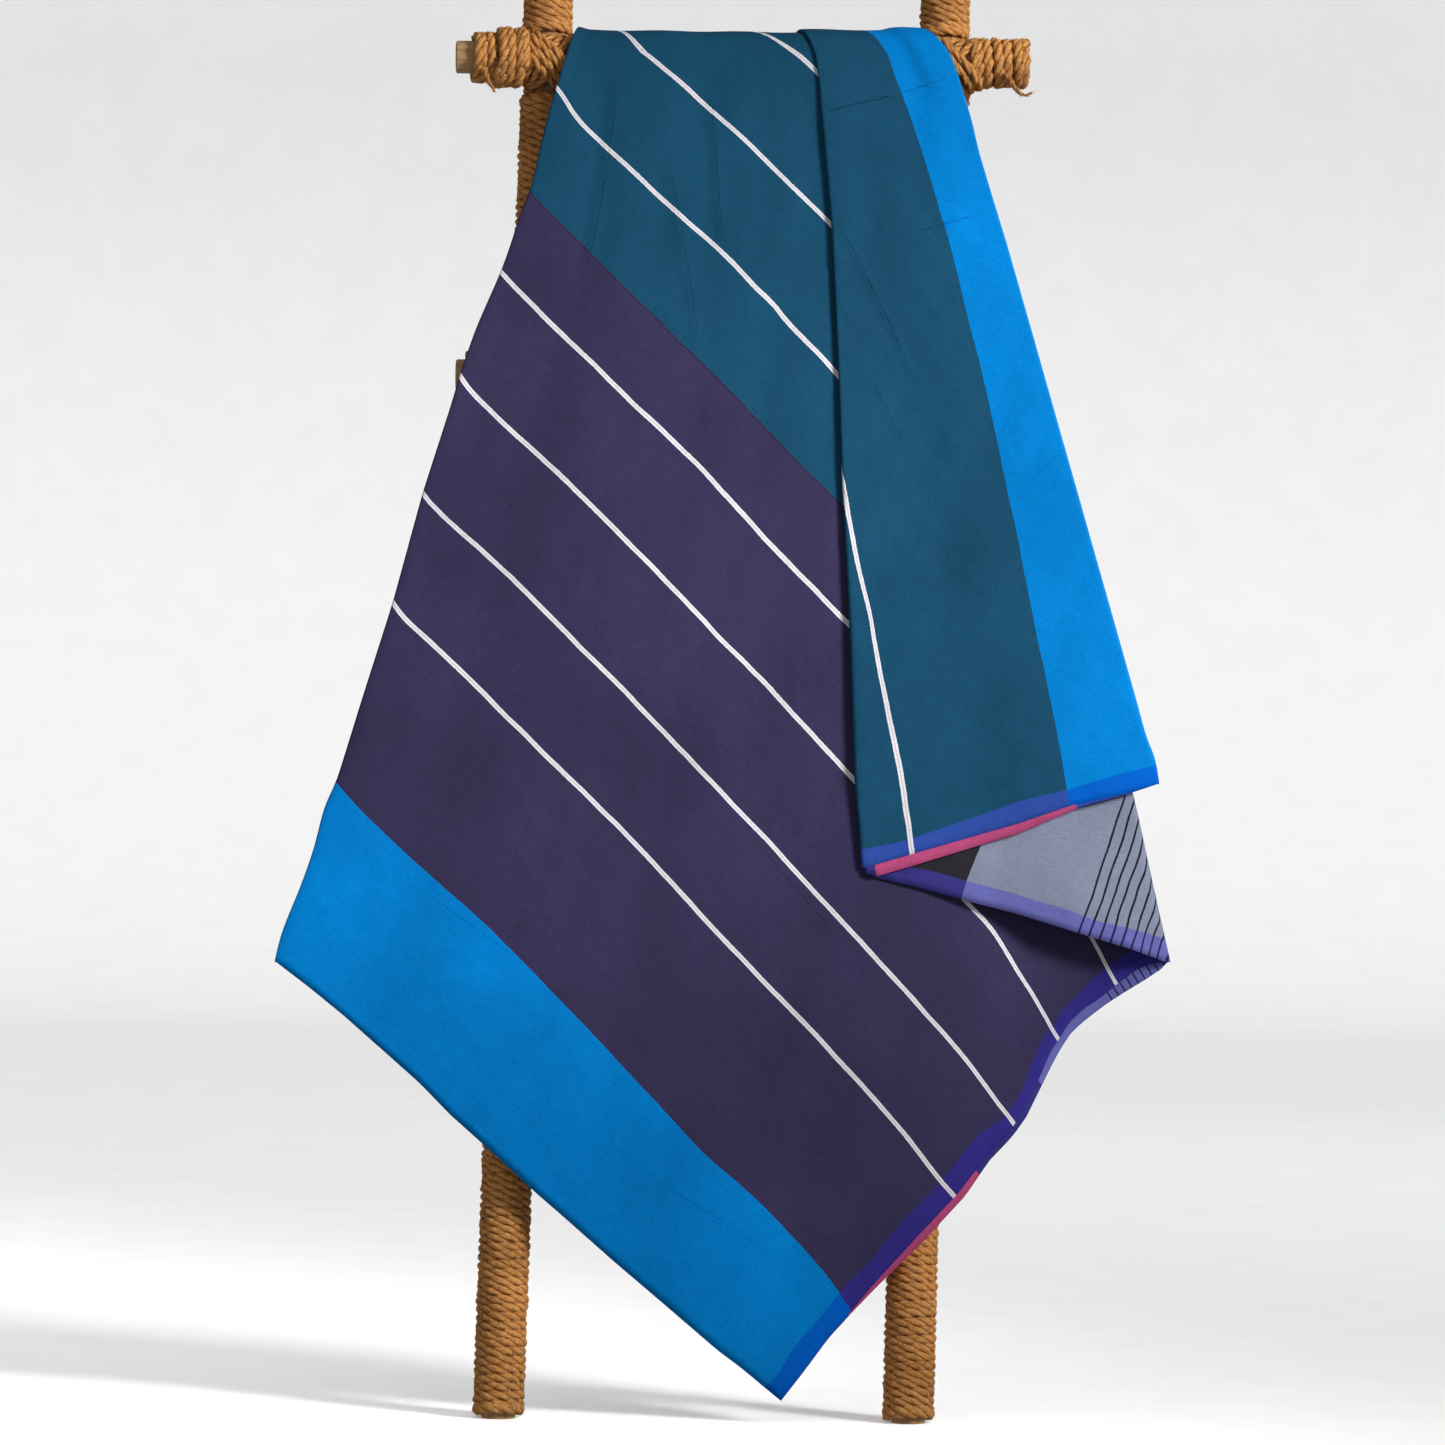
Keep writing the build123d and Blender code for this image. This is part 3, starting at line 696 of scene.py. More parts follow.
class Mat:
    """A node material, put together by name."""

    def __init__(self, name):
        self.mat = bpy.data.materials.new(name)
        self.mat.use_nodes = True
        self.nt = self.mat.node_tree
        self.nt.nodes.clear()
        self.out = self.nt.nodes.new("ShaderNodeOutputMaterial")
        self.bsdf = self.nt.nodes.new("ShaderNodeBsdfPrincipled")
        self.nt.links.new(self.bsdf.outputs[0], self.out.inputs[0])

    def put(self, sock, value):
        if value is None:
            return
        if isinstance(value, bpy.types.NodeSocket):
            self.nt.links.new(value, sock)
        else:
            sock.default_value = value

    def node(self, kind, **ins):
        n = self.nt.nodes.new(kind)
        for key, value in ins.items():
            if key in n.inputs.keys():
                self.put(n.inputs[key], value)
            else:
                setattr(n, key, value)
        return n

    def math(self, op, a, b=None, c=None, clamp=False):
        n = self.nt.nodes.new("ShaderNodeMath")
        n.operation = op
        n.use_clamp = clamp
        for i, v in enumerate((a, b, c)):
            self.put(n.inputs[i], v)
        return n.outputs[0]

    def mix(self, fac, a, b, how="MIX"):
        n = self.nt.nodes.new("ShaderNodeMix")
        n.data_type = "RGBA"
        n.blend_type = how
        self.put(n.inputs[0], fac)
        self.put(n.inputs[6], a)
        self.put(n.inputs[7], b)
        return n.outputs[2]

    def vec(self, x, y, z=0.0):
        n = self.nt.nodes.new("ShaderNodeCombineXYZ")
        for i, v in enumerate((x, y, z)):
            self.put(n.inputs[i], v)
        return n.outputs[0]

    def xyz(self, v):
        n = self.nt.nodes.new("ShaderNodeSeparateXYZ")
        self.put(n.inputs[0], v)
        return n.outputs

    def noise(self, v, scale, detail=2.0, rough=0.5, distort=0.0):
        n = self.nt.nodes.new("ShaderNodeTexNoise")
        self.put(n.inputs["Vector"], v)
        n.inputs["Scale"].default_value = scale
        n.inputs["Detail"].default_value = detail
        n.inputs["Roughness"].default_value = rough
        n.inputs["Distortion"].default_value = distort
        return n.outputs["Fac"]

    def span(self, v, a, b, c=0.0, d=1.0, smooth=False):
        n = self.nt.nodes.new("ShaderNodeMapRange")
        n.interpolation_type = "SMOOTHSTEP" if smooth else "LINEAR"
        self.put(n.inputs["Value"], v)
        for key, value in (("From Min", a), ("From Max", b), ("To Min", c), ("To Max", d)):
            n.inputs[key].default_value = value
        return n.outputs[0]

    def ramp(self, fac, stops, how="CONSTANT"):
        n = self.nt.nodes.new("ShaderNodeValToRGB")
        cr = n.color_ramp
        cr.interpolation = how
        stops = sorted(stops, key=lambda q: q[0])
        cr.elements[0].position = stops[0][0]
        cr.elements[1].position = stops[-1][0]
        for p, c in stops[1:-1]:
            cr.elements.new(p)
        for e, (p, c) in zip(cr.elements, stops):
            e.color = c
        self.put(n.inputs[0], fac)
        return n.outputs[0]

    def bump(self, height, strength, distance, normal=None):
        n = self.nt.nodes.new("ShaderNodeBump")
        n.inputs["Strength"].default_value = strength
        n.inputs["Distance"].default_value = distance
        self.put(n.inputs["Height"], height)
        self.put(n.inputs["Normal"], normal)
        return n.outputs[0]

    def set(self, **ins):
        for key, value in ins.items():
            self.put(self.bsdf.inputs[key.replace("_", " ")], value)


W_PX = 1442.0
AZURE, AUBERGINE, TEAL = srgb(0, 128, 208), srgb(58, 52, 85), srgb(25, 77, 106)
WHITE = srgb(236, 231, 236)
STRIPES = (336, 434, 543, 644, 812, 918, 1023, 1107)


def bands(m, where, edges, first):
    """Flat bands of colour with sharp edges at the given places along the cloth."""
    out = first
    for at, colour in edges:
        out = m.mix(m.math("GREATER_THAN", where, float(at)), out, colour)
    return out


def nearest(m, where, places):
    """How far a place is from the nearest of several lines."""
    out = None
    for at in places:
        d = m.math("ABSOLUTE", m.math("SUBTRACT", where, float(at)))
        out = d if out is None else m.math("MINIMUM", out, d)
    return out


def cloth_material(name, backing_side):
    m = Mat(name)
    uvn = m.node("ShaderNodeUVMap")
    uvn.uv_map = "cloth"
    u, v, _ = m.xyz(uvn.outputs[0])
    # the threads wander a little
    wob = m.noise(m.vec(u, v), 14.0, 2.0)
    wob2 = m.noise(m.vec(u, v, 3.0), 160.0, 1.0)
    shift = m.math("ADD", m.span(wob, 0.2, 0.8, -0.0011, 0.0011), m.span(wob2, 0.2, 0.8, -0.00012, 0.00012))
    tu = m.math("ADD", u, shift)
    sv = m.math("ADD", v, m.span(wob2, 0.2, 0.8, -0.00015, 0.00015))
    hem = 28 * PX / MM
    near = m.math("LESS_THAN", sv, hem)
    far = m.math("GREATER_THAN", sv, CLOTH_L / MM - hem)
    border = m.math("MAXIMUM", near, far)
    tpx = m.math("DIVIDE", tu, PX / MM)
    if not backing_side:
        base = bands(m, tpx, [(168, AUBERGINE), (719.8, srgb(60, 34, 62)), (721.0, TEAL), (1274, AZURE)], AZURE)
        e_az, e_au, e_te = srgb(0, 98, 206), srgb(56, 48, 138), srgb(50, 80, 168)
        edge = bands(m, tpx, [(168, e_au), (719.8, srgb(48, 30, 90)), (721.0, e_te), (1274, e_az)], e_az)
        line = nearest(m, tpx, STRIPES)
        colour = m.mix(border, base, edge)
        colour = m.mix(m.math("LESS_THAN", line, 2.35), colour, WHITE)
        colour = m.mix(m.math("MULTIPLY", m.math("LESS_THAN", line, 0.55), 0.32), colour, srgb(110, 104, 128))
    else:
        off = m.math("ABSOLUTE", m.math("SUBTRACT", tpx, W_PX / 2))
        grey, black, pink, outer = srgb(134, 141, 163), srgb(44, 42, 49), srgb(205, 84, 122), srgb(40, 96, 140)
        gb, bb, pb, ob_ = srgb(108, 110, 182), srgb(60, 55, 132), srgb(188, 78, 126), srgb(52, 84, 186)
        colour = m.mix(
            border,
            bands(m, off, [(230, black), (350, pink), (560, outer)], grey),
            bands(m, off, [(230, bb), (350, pb), (560, ob_)], gb),
        )
        saw = m.math("ABSOLUTE", m.math("SUBTRACT", m.math("MODULO", m.math("ADD", off, 5.0), 10.3), 5.15))
        line = m.math("MULTIPLY", m.math("LESS_THAN", saw, 1.05), m.math("LESS_THAN", off, 96.0))
        colour = m.mix(line, colour, m.mix(border, srgb(36, 34, 44), srgb(44, 40, 88)))
    # painted shade along the creases: one mask darkens the face colour there and also dents the bump height
    crease_shade_and_dent = None
    if not backing_side:
        for i, ((ax, az), (bx, bz), h, w) in enumerate(CREASES):
            tt, ss = (t3, s3) if i < 7 else (t1, s1)
            q = np.array([[ax, bx], [az, bz]])
            (u0, u1), (v0, v1) = tt(q[0], q[1])[0] / MM, ss(q[0], q[1])[0] / MM
            du, dv = float(u1 - u0), float(v1 - v0)
            n = math.hypot(du, dv)
            pu, pv = m.math("SUBTRACT", u, float(u0)), m.math("SUBTRACT", v, float(v0))
            along_ = m.math("ADD", m.math("MULTIPLY", pu, du / n / n), m.math("MULTIPLY", pv, dv / n / n))
            across = m.math("SUBTRACT", m.math("MULTIPLY", pu, dv / n), m.math("MULTIPLY", pv, du / n))
            across = m.math("ADD", across, m.span(wob2, 0.2, 0.8, -0.0012, 0.0012))
            body = m.math("SUBTRACT", 0.5, m.math("ABSOLUTE", m.math("SUBTRACT", along_, 0.5)))
            body = m.span(body, 0.0, 0.16, 0.0, 1.0, True)
            line_ = m.span(m.math("ABSOLUTE", across), 0.0003, 0.0016, min(1.0, 0.55 * h), 0.0, True)
            one = m.math("MULTIPLY", body, line_)
            crease_shade_and_dent = one if crease_shade_and_dent is None else m.math("MAXIMUM", crease_shade_and_dent, one)
        broken = m.span(m.noise(m.vec(u, v, 21.0), 90.0, 2.0), 0.35, 0.55, 0.35, 1.0)
        crease_shade_and_dent = m.math("MULTIPLY", crease_shade_and_dent, broken)
        # painted shade: the face colour is darkened along the crease lines, as shade lying in the creases
        colour = m.mix(m.math("MULTIPLY", crease_shade_and_dent, 0.62), colour, m.mix(1.0, colour, srgb(90, 92, 104), "MULTIPLY"))
    # slubs and the ribs of the weave
    slub = m.noise(m.vec(m.math("MULTIPLY", u, 1 / 0.016), m.math("MULTIPLY", v, 1 / 0.0017)), 1.0, 2.0, 0.55)
    slub2 = m.noise(m.vec(m.math("MULTIPLY", u, 1 / 0.0018), m.math("MULTIPLY", v, 1 / 0.012), 7.0), 1.0, 2.0, 0.55)
    grain = m.noise(m.vec(u, v, 9.0), 640.0, 2.0, 0.6)
    tex = m.math("ADD", m.math("MULTIPLY", slub, 0.30), m.math("MULTIPLY", slub2, 0.25))
    tex = m.math("ADD", tex, m.math("MULTIPLY", grain, 0.45))
    shade = m.span(tex, 0.34, 0.66, 0.80, 1.18)
    dash = m.noise(m.vec(m.math("MULTIPLY", u, 1 / 0.022), m.math("MULTIPLY", v, 1 / 0.0022), 4.0), 1.0, 1.0)
    dark = m.span(dash, 0.68, 0.78, 1.0, 0.84)
    dash2 = m.noise(m.vec(m.math("MULTIPLY", u, 1 / 0.030), m.math("MULTIPLY", v, 1 / 0.0026), 14.0), 1.0, 1.0)
    light = m.span(dash2, 0.70, 0.80, 1.0, 1.12)
    broad = m.noise(m.vec(u, v, 2.0), 5.5, 3.0, 0.5)
    tone = m.span(broad, 0.3, 0.7, 0.84, 1.10)
    k = m.math("MULTIPLY", m.math("MULTIPLY", shade, tone), m.math("MULTIPLY", dark, light))
    kk = m.vec(k, k, k)
    colour = m.mix(1.0, colour, kk, "MULTIPLY")
    ribs = m.math("SINE", m.math("MULTIPLY", v, 2 * math.pi / 0.0014))
    ribs2 = m.math("SINE", m.math("MULTIPLY", u, 2 * math.pi / 0.0012))
    height = m.math("ADD", m.math("MULTIPLY", tex, 1.6), m.math("MULTIPLY", m.math("ADD", ribs, ribs2), 0.10))
    creased = m.noise(m.vec(u, v, 5.0), 22.0, 4.0, 0.55, 0.4)
    if crease_shade_and_dent is not None:
        height = m.math("SUBTRACT", height, m.math("MULTIPLY", crease_shade_and_dent, 1.6))
    n1 = m.bump(creased, 0.35, 0.004)
    n2 = m.bump(height, 0.55, 0.0006, n1)
    m.set(Base_Color=colour, Roughness=0.78, Normal=n2)
    m.bsdf.inputs["Specular IOR Level"].default_value = 0.05
    m.bsdf.inputs["Sheen Weight"].default_value = 0.0
    m.bsdf.inputs["Sheen Roughness"].default_value = 0.4
    return m.mat


def rope_material():
    m = Mat("rope_jute")
    at = m.node("ShaderNodeAttribute")
    at.attribute_name = "crest"
    crest = at.outputs["Fac"]
    uvn = m.node("ShaderNodeUVMap")
    uvn.uv_map = "rope"
    u, v, _ = m.xyz(uvn.outputs[0])
    geo = m.node("ShaderNodeTexCoord")
    objp = geo.outputs["Object"]
    fib = m.noise(m.vec(m.math("MULTIPLY", u, 1 / 0.009), m.math("MULTIPLY", v, 1 / 0.0008)), 1.0, 3.0, 0.6)
    fib2 = m.noise(m.vec(m.math("MULTIPLY", u, 1 / 0.004), m.math("MULTIPLY", v, 1 / 0.0022), 5.0), 1.0, 2.0, 0.5)
    patch_ = m.noise(objp, 16.0, 3.0, 0.55)
    patch2 = m.noise(objp, 170.0, 3.0, 0.65)
    f = m.math("ADD", m.math("MULTIPLY", fib, 0.42), m.math("MULTIPLY", fib2, 0.24))
    f = m.math("ADD", f, m.math("MULTIPLY", patch2, 0.34))
    base = m.ramp(
        m.span(f, 0.30, 0.70),
        [
            (0.0, srgb(172, 112, 58)),
            (0.35, srgb(222, 154, 86)),
            (0.62, srgb(242, 178, 106)),
            (1.0, srgb(250, 200, 130)),
        ],
        "LINEAR",
    )
    tone = m.ramp(
        m.span(patch_, 0.3, 0.7),
        [(0.0, (0.72, 0.70, 0.68, 1)), (0.5, (1.0, 0.98, 0.95, 1)), (1.0, (1.12, 1.08, 1.0, 1))],
        "LINEAR",
    )
    base = m.mix(1.0, base, tone, "MULTIPLY")
    specks = m.span(m.noise(objp, 240.0, 2.0, 0.6), 0.56, 0.68, 0.0, 0.5, True)
    base = m.mix(specks, base, m.mix(1.0, base, srgb(150, 108, 82), "MULTIPLY"))
    # painted shade: the grooves between the strands are coloured darker, as shade between them
    groove_shade_fac = m.span(crest, 0.02, 0.5, 0.0, 1.0, True)
    base = m.mix(groove_shade_fac, m.mix(1.0, base, srgb(188, 160, 136), "MULTIPLY"), base)
    h = m.math("ADD", m.math("MULTIPLY", fib, 1.0), m.math("ADD", m.math("MULTIPLY", fib2, 0.7), m.math("MULTIPLY", patch2, 0.9)))
    n = m.bump(h, 1.0, 0.0022)
    m.set(Base_Color=base, Roughness=0.86, Normal=n)
    m.bsdf.inputs["Specular IOR Level"].default_value = 0.2
    return m.mat


def wood_material():
    m = Mat("pale_wood")
    geo = m.node("ShaderNodeTexCoord")
    x, y, z = m.xyz(geo.outputs["Object"])
    long_x = m.noise(m.vec(m.math("MULTIPLY", x, 9.0), m.math("MULTIPLY", y, 260.0), m.math("MULTIPLY", z, 260.0)), 1.0, 3.0, 0.6, 0.3)
    rings = m.noise(geo.outputs["Object"], 70.0, 3.0, 0.6, 0.5)
    f = m.math("ADD", m.math("MULTIPLY", long_x, 0.6), m.math("MULTIPLY", rings, 0.4))
    base = m.ramp(
        m.span(f, 0.3, 0.7),
        [(0.0, srgb(146, 108, 72)), (0.5, srgb(182, 145, 104)), (1.0, srgb(204, 170, 130))],
        "LINEAR",
    )
    n = m.bump(f, 0.5, 0.0008)
    m.set(Base_Color=base, Roughness=0.7, Normal=n)
    m.bsdf.inputs["Specular IOR Level"].default_value = 0.3
    return m.mat


face_mat = cloth_material("face_weave", False)
backing_mat = cloth_material("backing_weave", True)
rope_mat = rope_material()
wood_mat = wood_material()
face.data.materials.append(face_mat)
backing.data.materials.append(backing_mat)
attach(face, "quilt")
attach(backing, "quilt")
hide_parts("quilt_face")
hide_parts("quilt_backing")
for name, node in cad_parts.items():
    if name.startswith(("pole_left", "pole_right", "rung_")) and "rope" not in name:
        if node.data.materials:
            for i in range(len(node.data.materials)):
                node.data.materials[i] = wood_mat
        else:
            node.data.materials.append(wood_mat)

# ------------------------------------------------------------------ the rope
SKEW = math.radians(1.07)
POLE_DIR = np.array([math.tan(SKEW), math.tan(LEAN), 1.0])
POLE_DIR /= np.linalg.norm(POLE_DIR)
TILT = math.sqrt(1 - POLE_DIR[2] ** 2)
ROPE_R = ROPE_D / 2
LAY = 42.0
UP = np.array([0.0, SL, CL])
FRONT = np.array([0.0, -CL, SL])
XHAT = np.array([1.0, 0.0, 0.0])


def box_mm(name):
    lo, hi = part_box(name)
    return np.array(lo) * MM, np.array(hi) * MM


def slow(rng, n, step, amp):
    """A smooth random wander with n samples, one knot every step samples."""
    k = max(4, int(n / step) + 3)
    return np.interp(np.linspace(0, k - 1, n), np.arange(k), rng.uniform(-amp, amp, k))


def soften(v, w=5):
    k = np.hanning(w + 2)[1:-1]
    k /= k.sum()
    return np.stack([np.convolve(np.pad(v[:, j], w // 2, mode="edge"), k, "valid") for j in range(v.shape[1])], axis=1)


class Rope:
    """Collects twisted three-strand tubes and loose fibres into one mesh."""

    def __init__(self, seed):
        self.rng = np.random.default_rng(seed)
        self.v, self.f4, self.f3, self.uv, self.crest, self.n = [], [], [], [], [], 0

    def add(self, v, f4, f3, uv, crest):
        self.v.append(v)
        if len(f4):
            self.f4.append(np.asarray(f4) + self.n)
        if len(f3):
            self.f3.append(np.asarray(f3) + self.n)
        self.uv.append(uv)
        self.crest.append(crest)
        self.n += len(v)

    def tube(self, pts, radius=ROPE_R, normal=None, scale=None, hairs=0.09, lay=LAY, hair_len=7.0, flat=1.0):
        rng = self.rng
        pts = np.asarray(pts, float)
        n = len(pts)
        T = np.gradient(pts, axis=0)
        T /= np.linalg.norm(T, axis=1)[:, None]
        if normal is None:
            N = np.zeros_like(T)
            a = np.cross(T[0], [0.31, 0.2, 0.93])
            N[0] = a / np.linalg.norm(a)
            for i in range(1, n):
                b = N[i - 1] - T[i] * (N[i - 1] @ T[i])
                N[i] = b / np.linalg.norm(b)
        else:
            N = normal - T * (normal * T).sum(1)[:, None]
            N /= np.linalg.norm(N, axis=1)[:, None]
        Bn = np.cross(T, N)
        s = np.concatenate([[0], np.cumsum(np.linalg.norm(np.diff(pts, axis=0), axis=1))])
        k = np.arange(12)
        psi = np.radians((k * 30 + 60) % 120 - 60)
        strand = ((k * 30 + 60) // 120) % 3
        even = np.stack([slow(rng, n, 6, 0.09) for _ in range(3)], axis=1)[:, strand]
        r = radius * np.cos(psi)[None, :] * (1 + even + rng.normal(0, 0.045, (n, 12)))
        # a rope is not sharply cleft: fibres fill the grooves a little
        r = np.maximum(r, radius * 0.70)
        if scale is not None:
            r = r * np.asarray(scale)[:, None]
        ang = np.radians(k * 30)[None, :] + 2 * math.pi * s[:, None] / lay + rng.uniform(0, 6.28)
        v = pts[:, None, :] + r[..., None] * (np.cos(ang)[..., None] * N[:, None, :] + np.sin(ang)[..., None] * Bn[:, None, :] * flat)
        # how near a strand's crest each point lies; the rope material paints shade into the grooves from it
        crest = np.broadcast_to((np.cos(psi) - 0.5) / 0.5, (n, 12))
        uv = np.stack([np.broadcast_to(s[:, None], (n, 12)), np.broadcast_to(np.abs(((k * 30) % 360) - 180) * 0.0873, (n, 12))], axis=-1) / MM
        off = rng.uniform(0, 3.0)
        uv = uv + np.array([off, 0.0])
        v = v.reshape(-1, 3)
        quads = grid_faces(n, 12, close=True)
        ends = np.stack([pts[0], pts[-1]])
        m = n * 12
        kk = np.arange(12)
        cap0 = np.stack([np.full(12, m), (kk + 1) % 12, kk], axis=1)
        cap1 = np.stack([np.full(12, m + 1), (n - 1) * 12 + kk, (n - 1) * 12 + (kk + 1) % 12], axis=1)
        self.add(
            np.concatenate([v, ends]),
            quads,
            np.concatenate([cap0, cap1]),
            np.concatenate([uv.reshape(-1, 2), np.full((2, 2), off)]),
            np.concatenate([crest.ravel(), [0.1, 0.1]]),
        )
        # loose fibres
        count = int(hairs * s[-1])
        if count:
            i = rng.integers(0, n, count)
            a = rng.uniform(0, 2 * math.pi, count)
            out = np.cos(a)[:, None] * N[i] + np.sin(a)[:, None] * Bn[i]
            side = np.cross(T[i], out)
            sgn = rng.choice([-1.0, 1.0], count)[:, None]
            d0_ = T[i] * sgn * rng.uniform(0.5, 1.2, (count, 1)) + side * rng.uniform(-0.9, 0.9, (count, 1)) + out * rng.uniform(0.05, 0.5, (count, 1))
            d0_ /= np.linalg.norm(d0_, axis=1)[:, None]
            ln = rng.uniform(0.25, 0.85, (count, 1)) * hair_len
            bend = out * rng.uniform(-0.1, 0.35, (count, 1)) * ln + np.array([0, 0, -0.10]) * ln
            base = pts[i] + out * radius * 0.86 * (1 if scale is None else np.asarray(scale)[i][:, None])
            w = rng.uniform(0.16, 0.30, (count, 1))
            rings = []
            for q, wq in ((0.0, 1.0), (0.35, 0.9), (0.7, 0.6), (1.0, 0.15)):
                c = base + d0_ * ln * q + bend * q * q
                e1 = np.cross(d0_, out)
                e1 /= np.maximum(np.linalg.norm(e1, axis=1), 1e-6)[:, None]
                e2 = np.cross(d0_, e1)
                for b in (0, 2.094, 4.189):
                    rings.append(c + (e1 * math.cos(b) + e2 * math.sin(b)) * w * wq)
            hv = np.stack(rings, axis=1)  # count, 12, 3
            q4 = np.array([[r0 * 3 + j, r0 * 3 + (j + 1) % 3, r0 * 3 + 3 + (j + 1) % 3, r0 * 3 + 3 + j] for r0 in range(3) for j in range(3)])
            f4 = (np.arange(count) * 12)[:, None, None] + q4[None]
            huv = np.stack([rng.uniform(0, 2, (count, 12)), rng.uniform(0, 0.01, (count, 12))], axis=-1)
            self.add(hv.reshape(-1, 3), f4.reshape(-1, 4), [], huv.reshape(-1, 2), np.full(count * 12, 0.95))
        return self

    def wind(self, origin, axis, a, b, pitch=9.2, rc=None, seed_phase=0.0, loose=0.0, slant=0.0, hairs=0.09, taper=None, flat=1.3):
        """Winds the rope round an axis from a to b (mm along it)."""
        rng = self.rng
        rc = CORE_R + ROPE_R if rc is None else rc
        length = (b - a) - 2 * ROPE_R
        turns = max(2, round(length / pitch + 1.5))
        n = turns * 42 + 1
        tau = np.linspace(0, turns, n)
        e1 = np.cross(axis, [0.0, 1.0, 0.0] if abs(axis[1]) < 0.8 else [1.0, 0.0, 0.0])
        e1 /= np.linalg.norm(e1)
        e2 = np.cross(axis, e1)
        phase = 2 * math.pi * tau + seed_phase
        radial = np.cos(phase)[:, None] * e1 + np.sin(phase)[:, None] * e2
        each = np.repeat(rng.uniform(-1, 1, turns + 2), 42)[:n]
        each = np.convolve(np.pad(each, 10, mode="edge"), np.ones(21) / 21, "valid")
        # the first and last turns lie flat, as where an end is tucked in
        def start(q):
            return q - 0.75 * (1 - np.exp(-((q / 0.75) ** 2)))

        rise = np.where(tau < turns / 2, start(tau), turns - 1.5 - start(turns - tau)) / (turns - 1.5)
        inner = np.minimum(1, 4 * np.minimum(rise, 1 - rise) + 0.15)
        ax = a + ROPE_R + length * rise + (slow(rng, n, 24, 0.45 + loose) + each * (0.35 + loose)) * inner
        ax = ax + slant * np.cos(phase - 1.2)
        rad = rc + slow(rng, n, 30, 0.25 + 0.9 * loose) + np.abs(each) * 0.35
        pts = np.asarray(origin) + ax[:, None] * axis + radial * rad[:, None]
        scale = np.ones(n) if taper is None else taper(tau / turns)
        # a rope gets pressed flat where it lies on the core, and full where it bulges out
        self.tube(pts, normal=radial, scale=scale, hairs=hairs, flat=flat)
        return pts

    def finish(self, name):
        ob = mesh_object(
            name,
            np.concatenate(self.v),
            [np.concatenate(self.f4)] + ([np.concatenate(self.f3)] if self.f3 else []),
            uv=("rope", np.concatenate(self.uv)),
            attrs={"crest": np.concatenate(self.crest)},
        )
        ob.data.materials.append(rope_mat)
        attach(ob, "rack")
        return ob


def pole_foot(side):
    lo, hi = box_mm("pole_" + side)
    c, h = (lo + hi) / 2, hi[2] - lo[2]
    return c - POLE_DIR / POLE_DIR[2] * h / 2


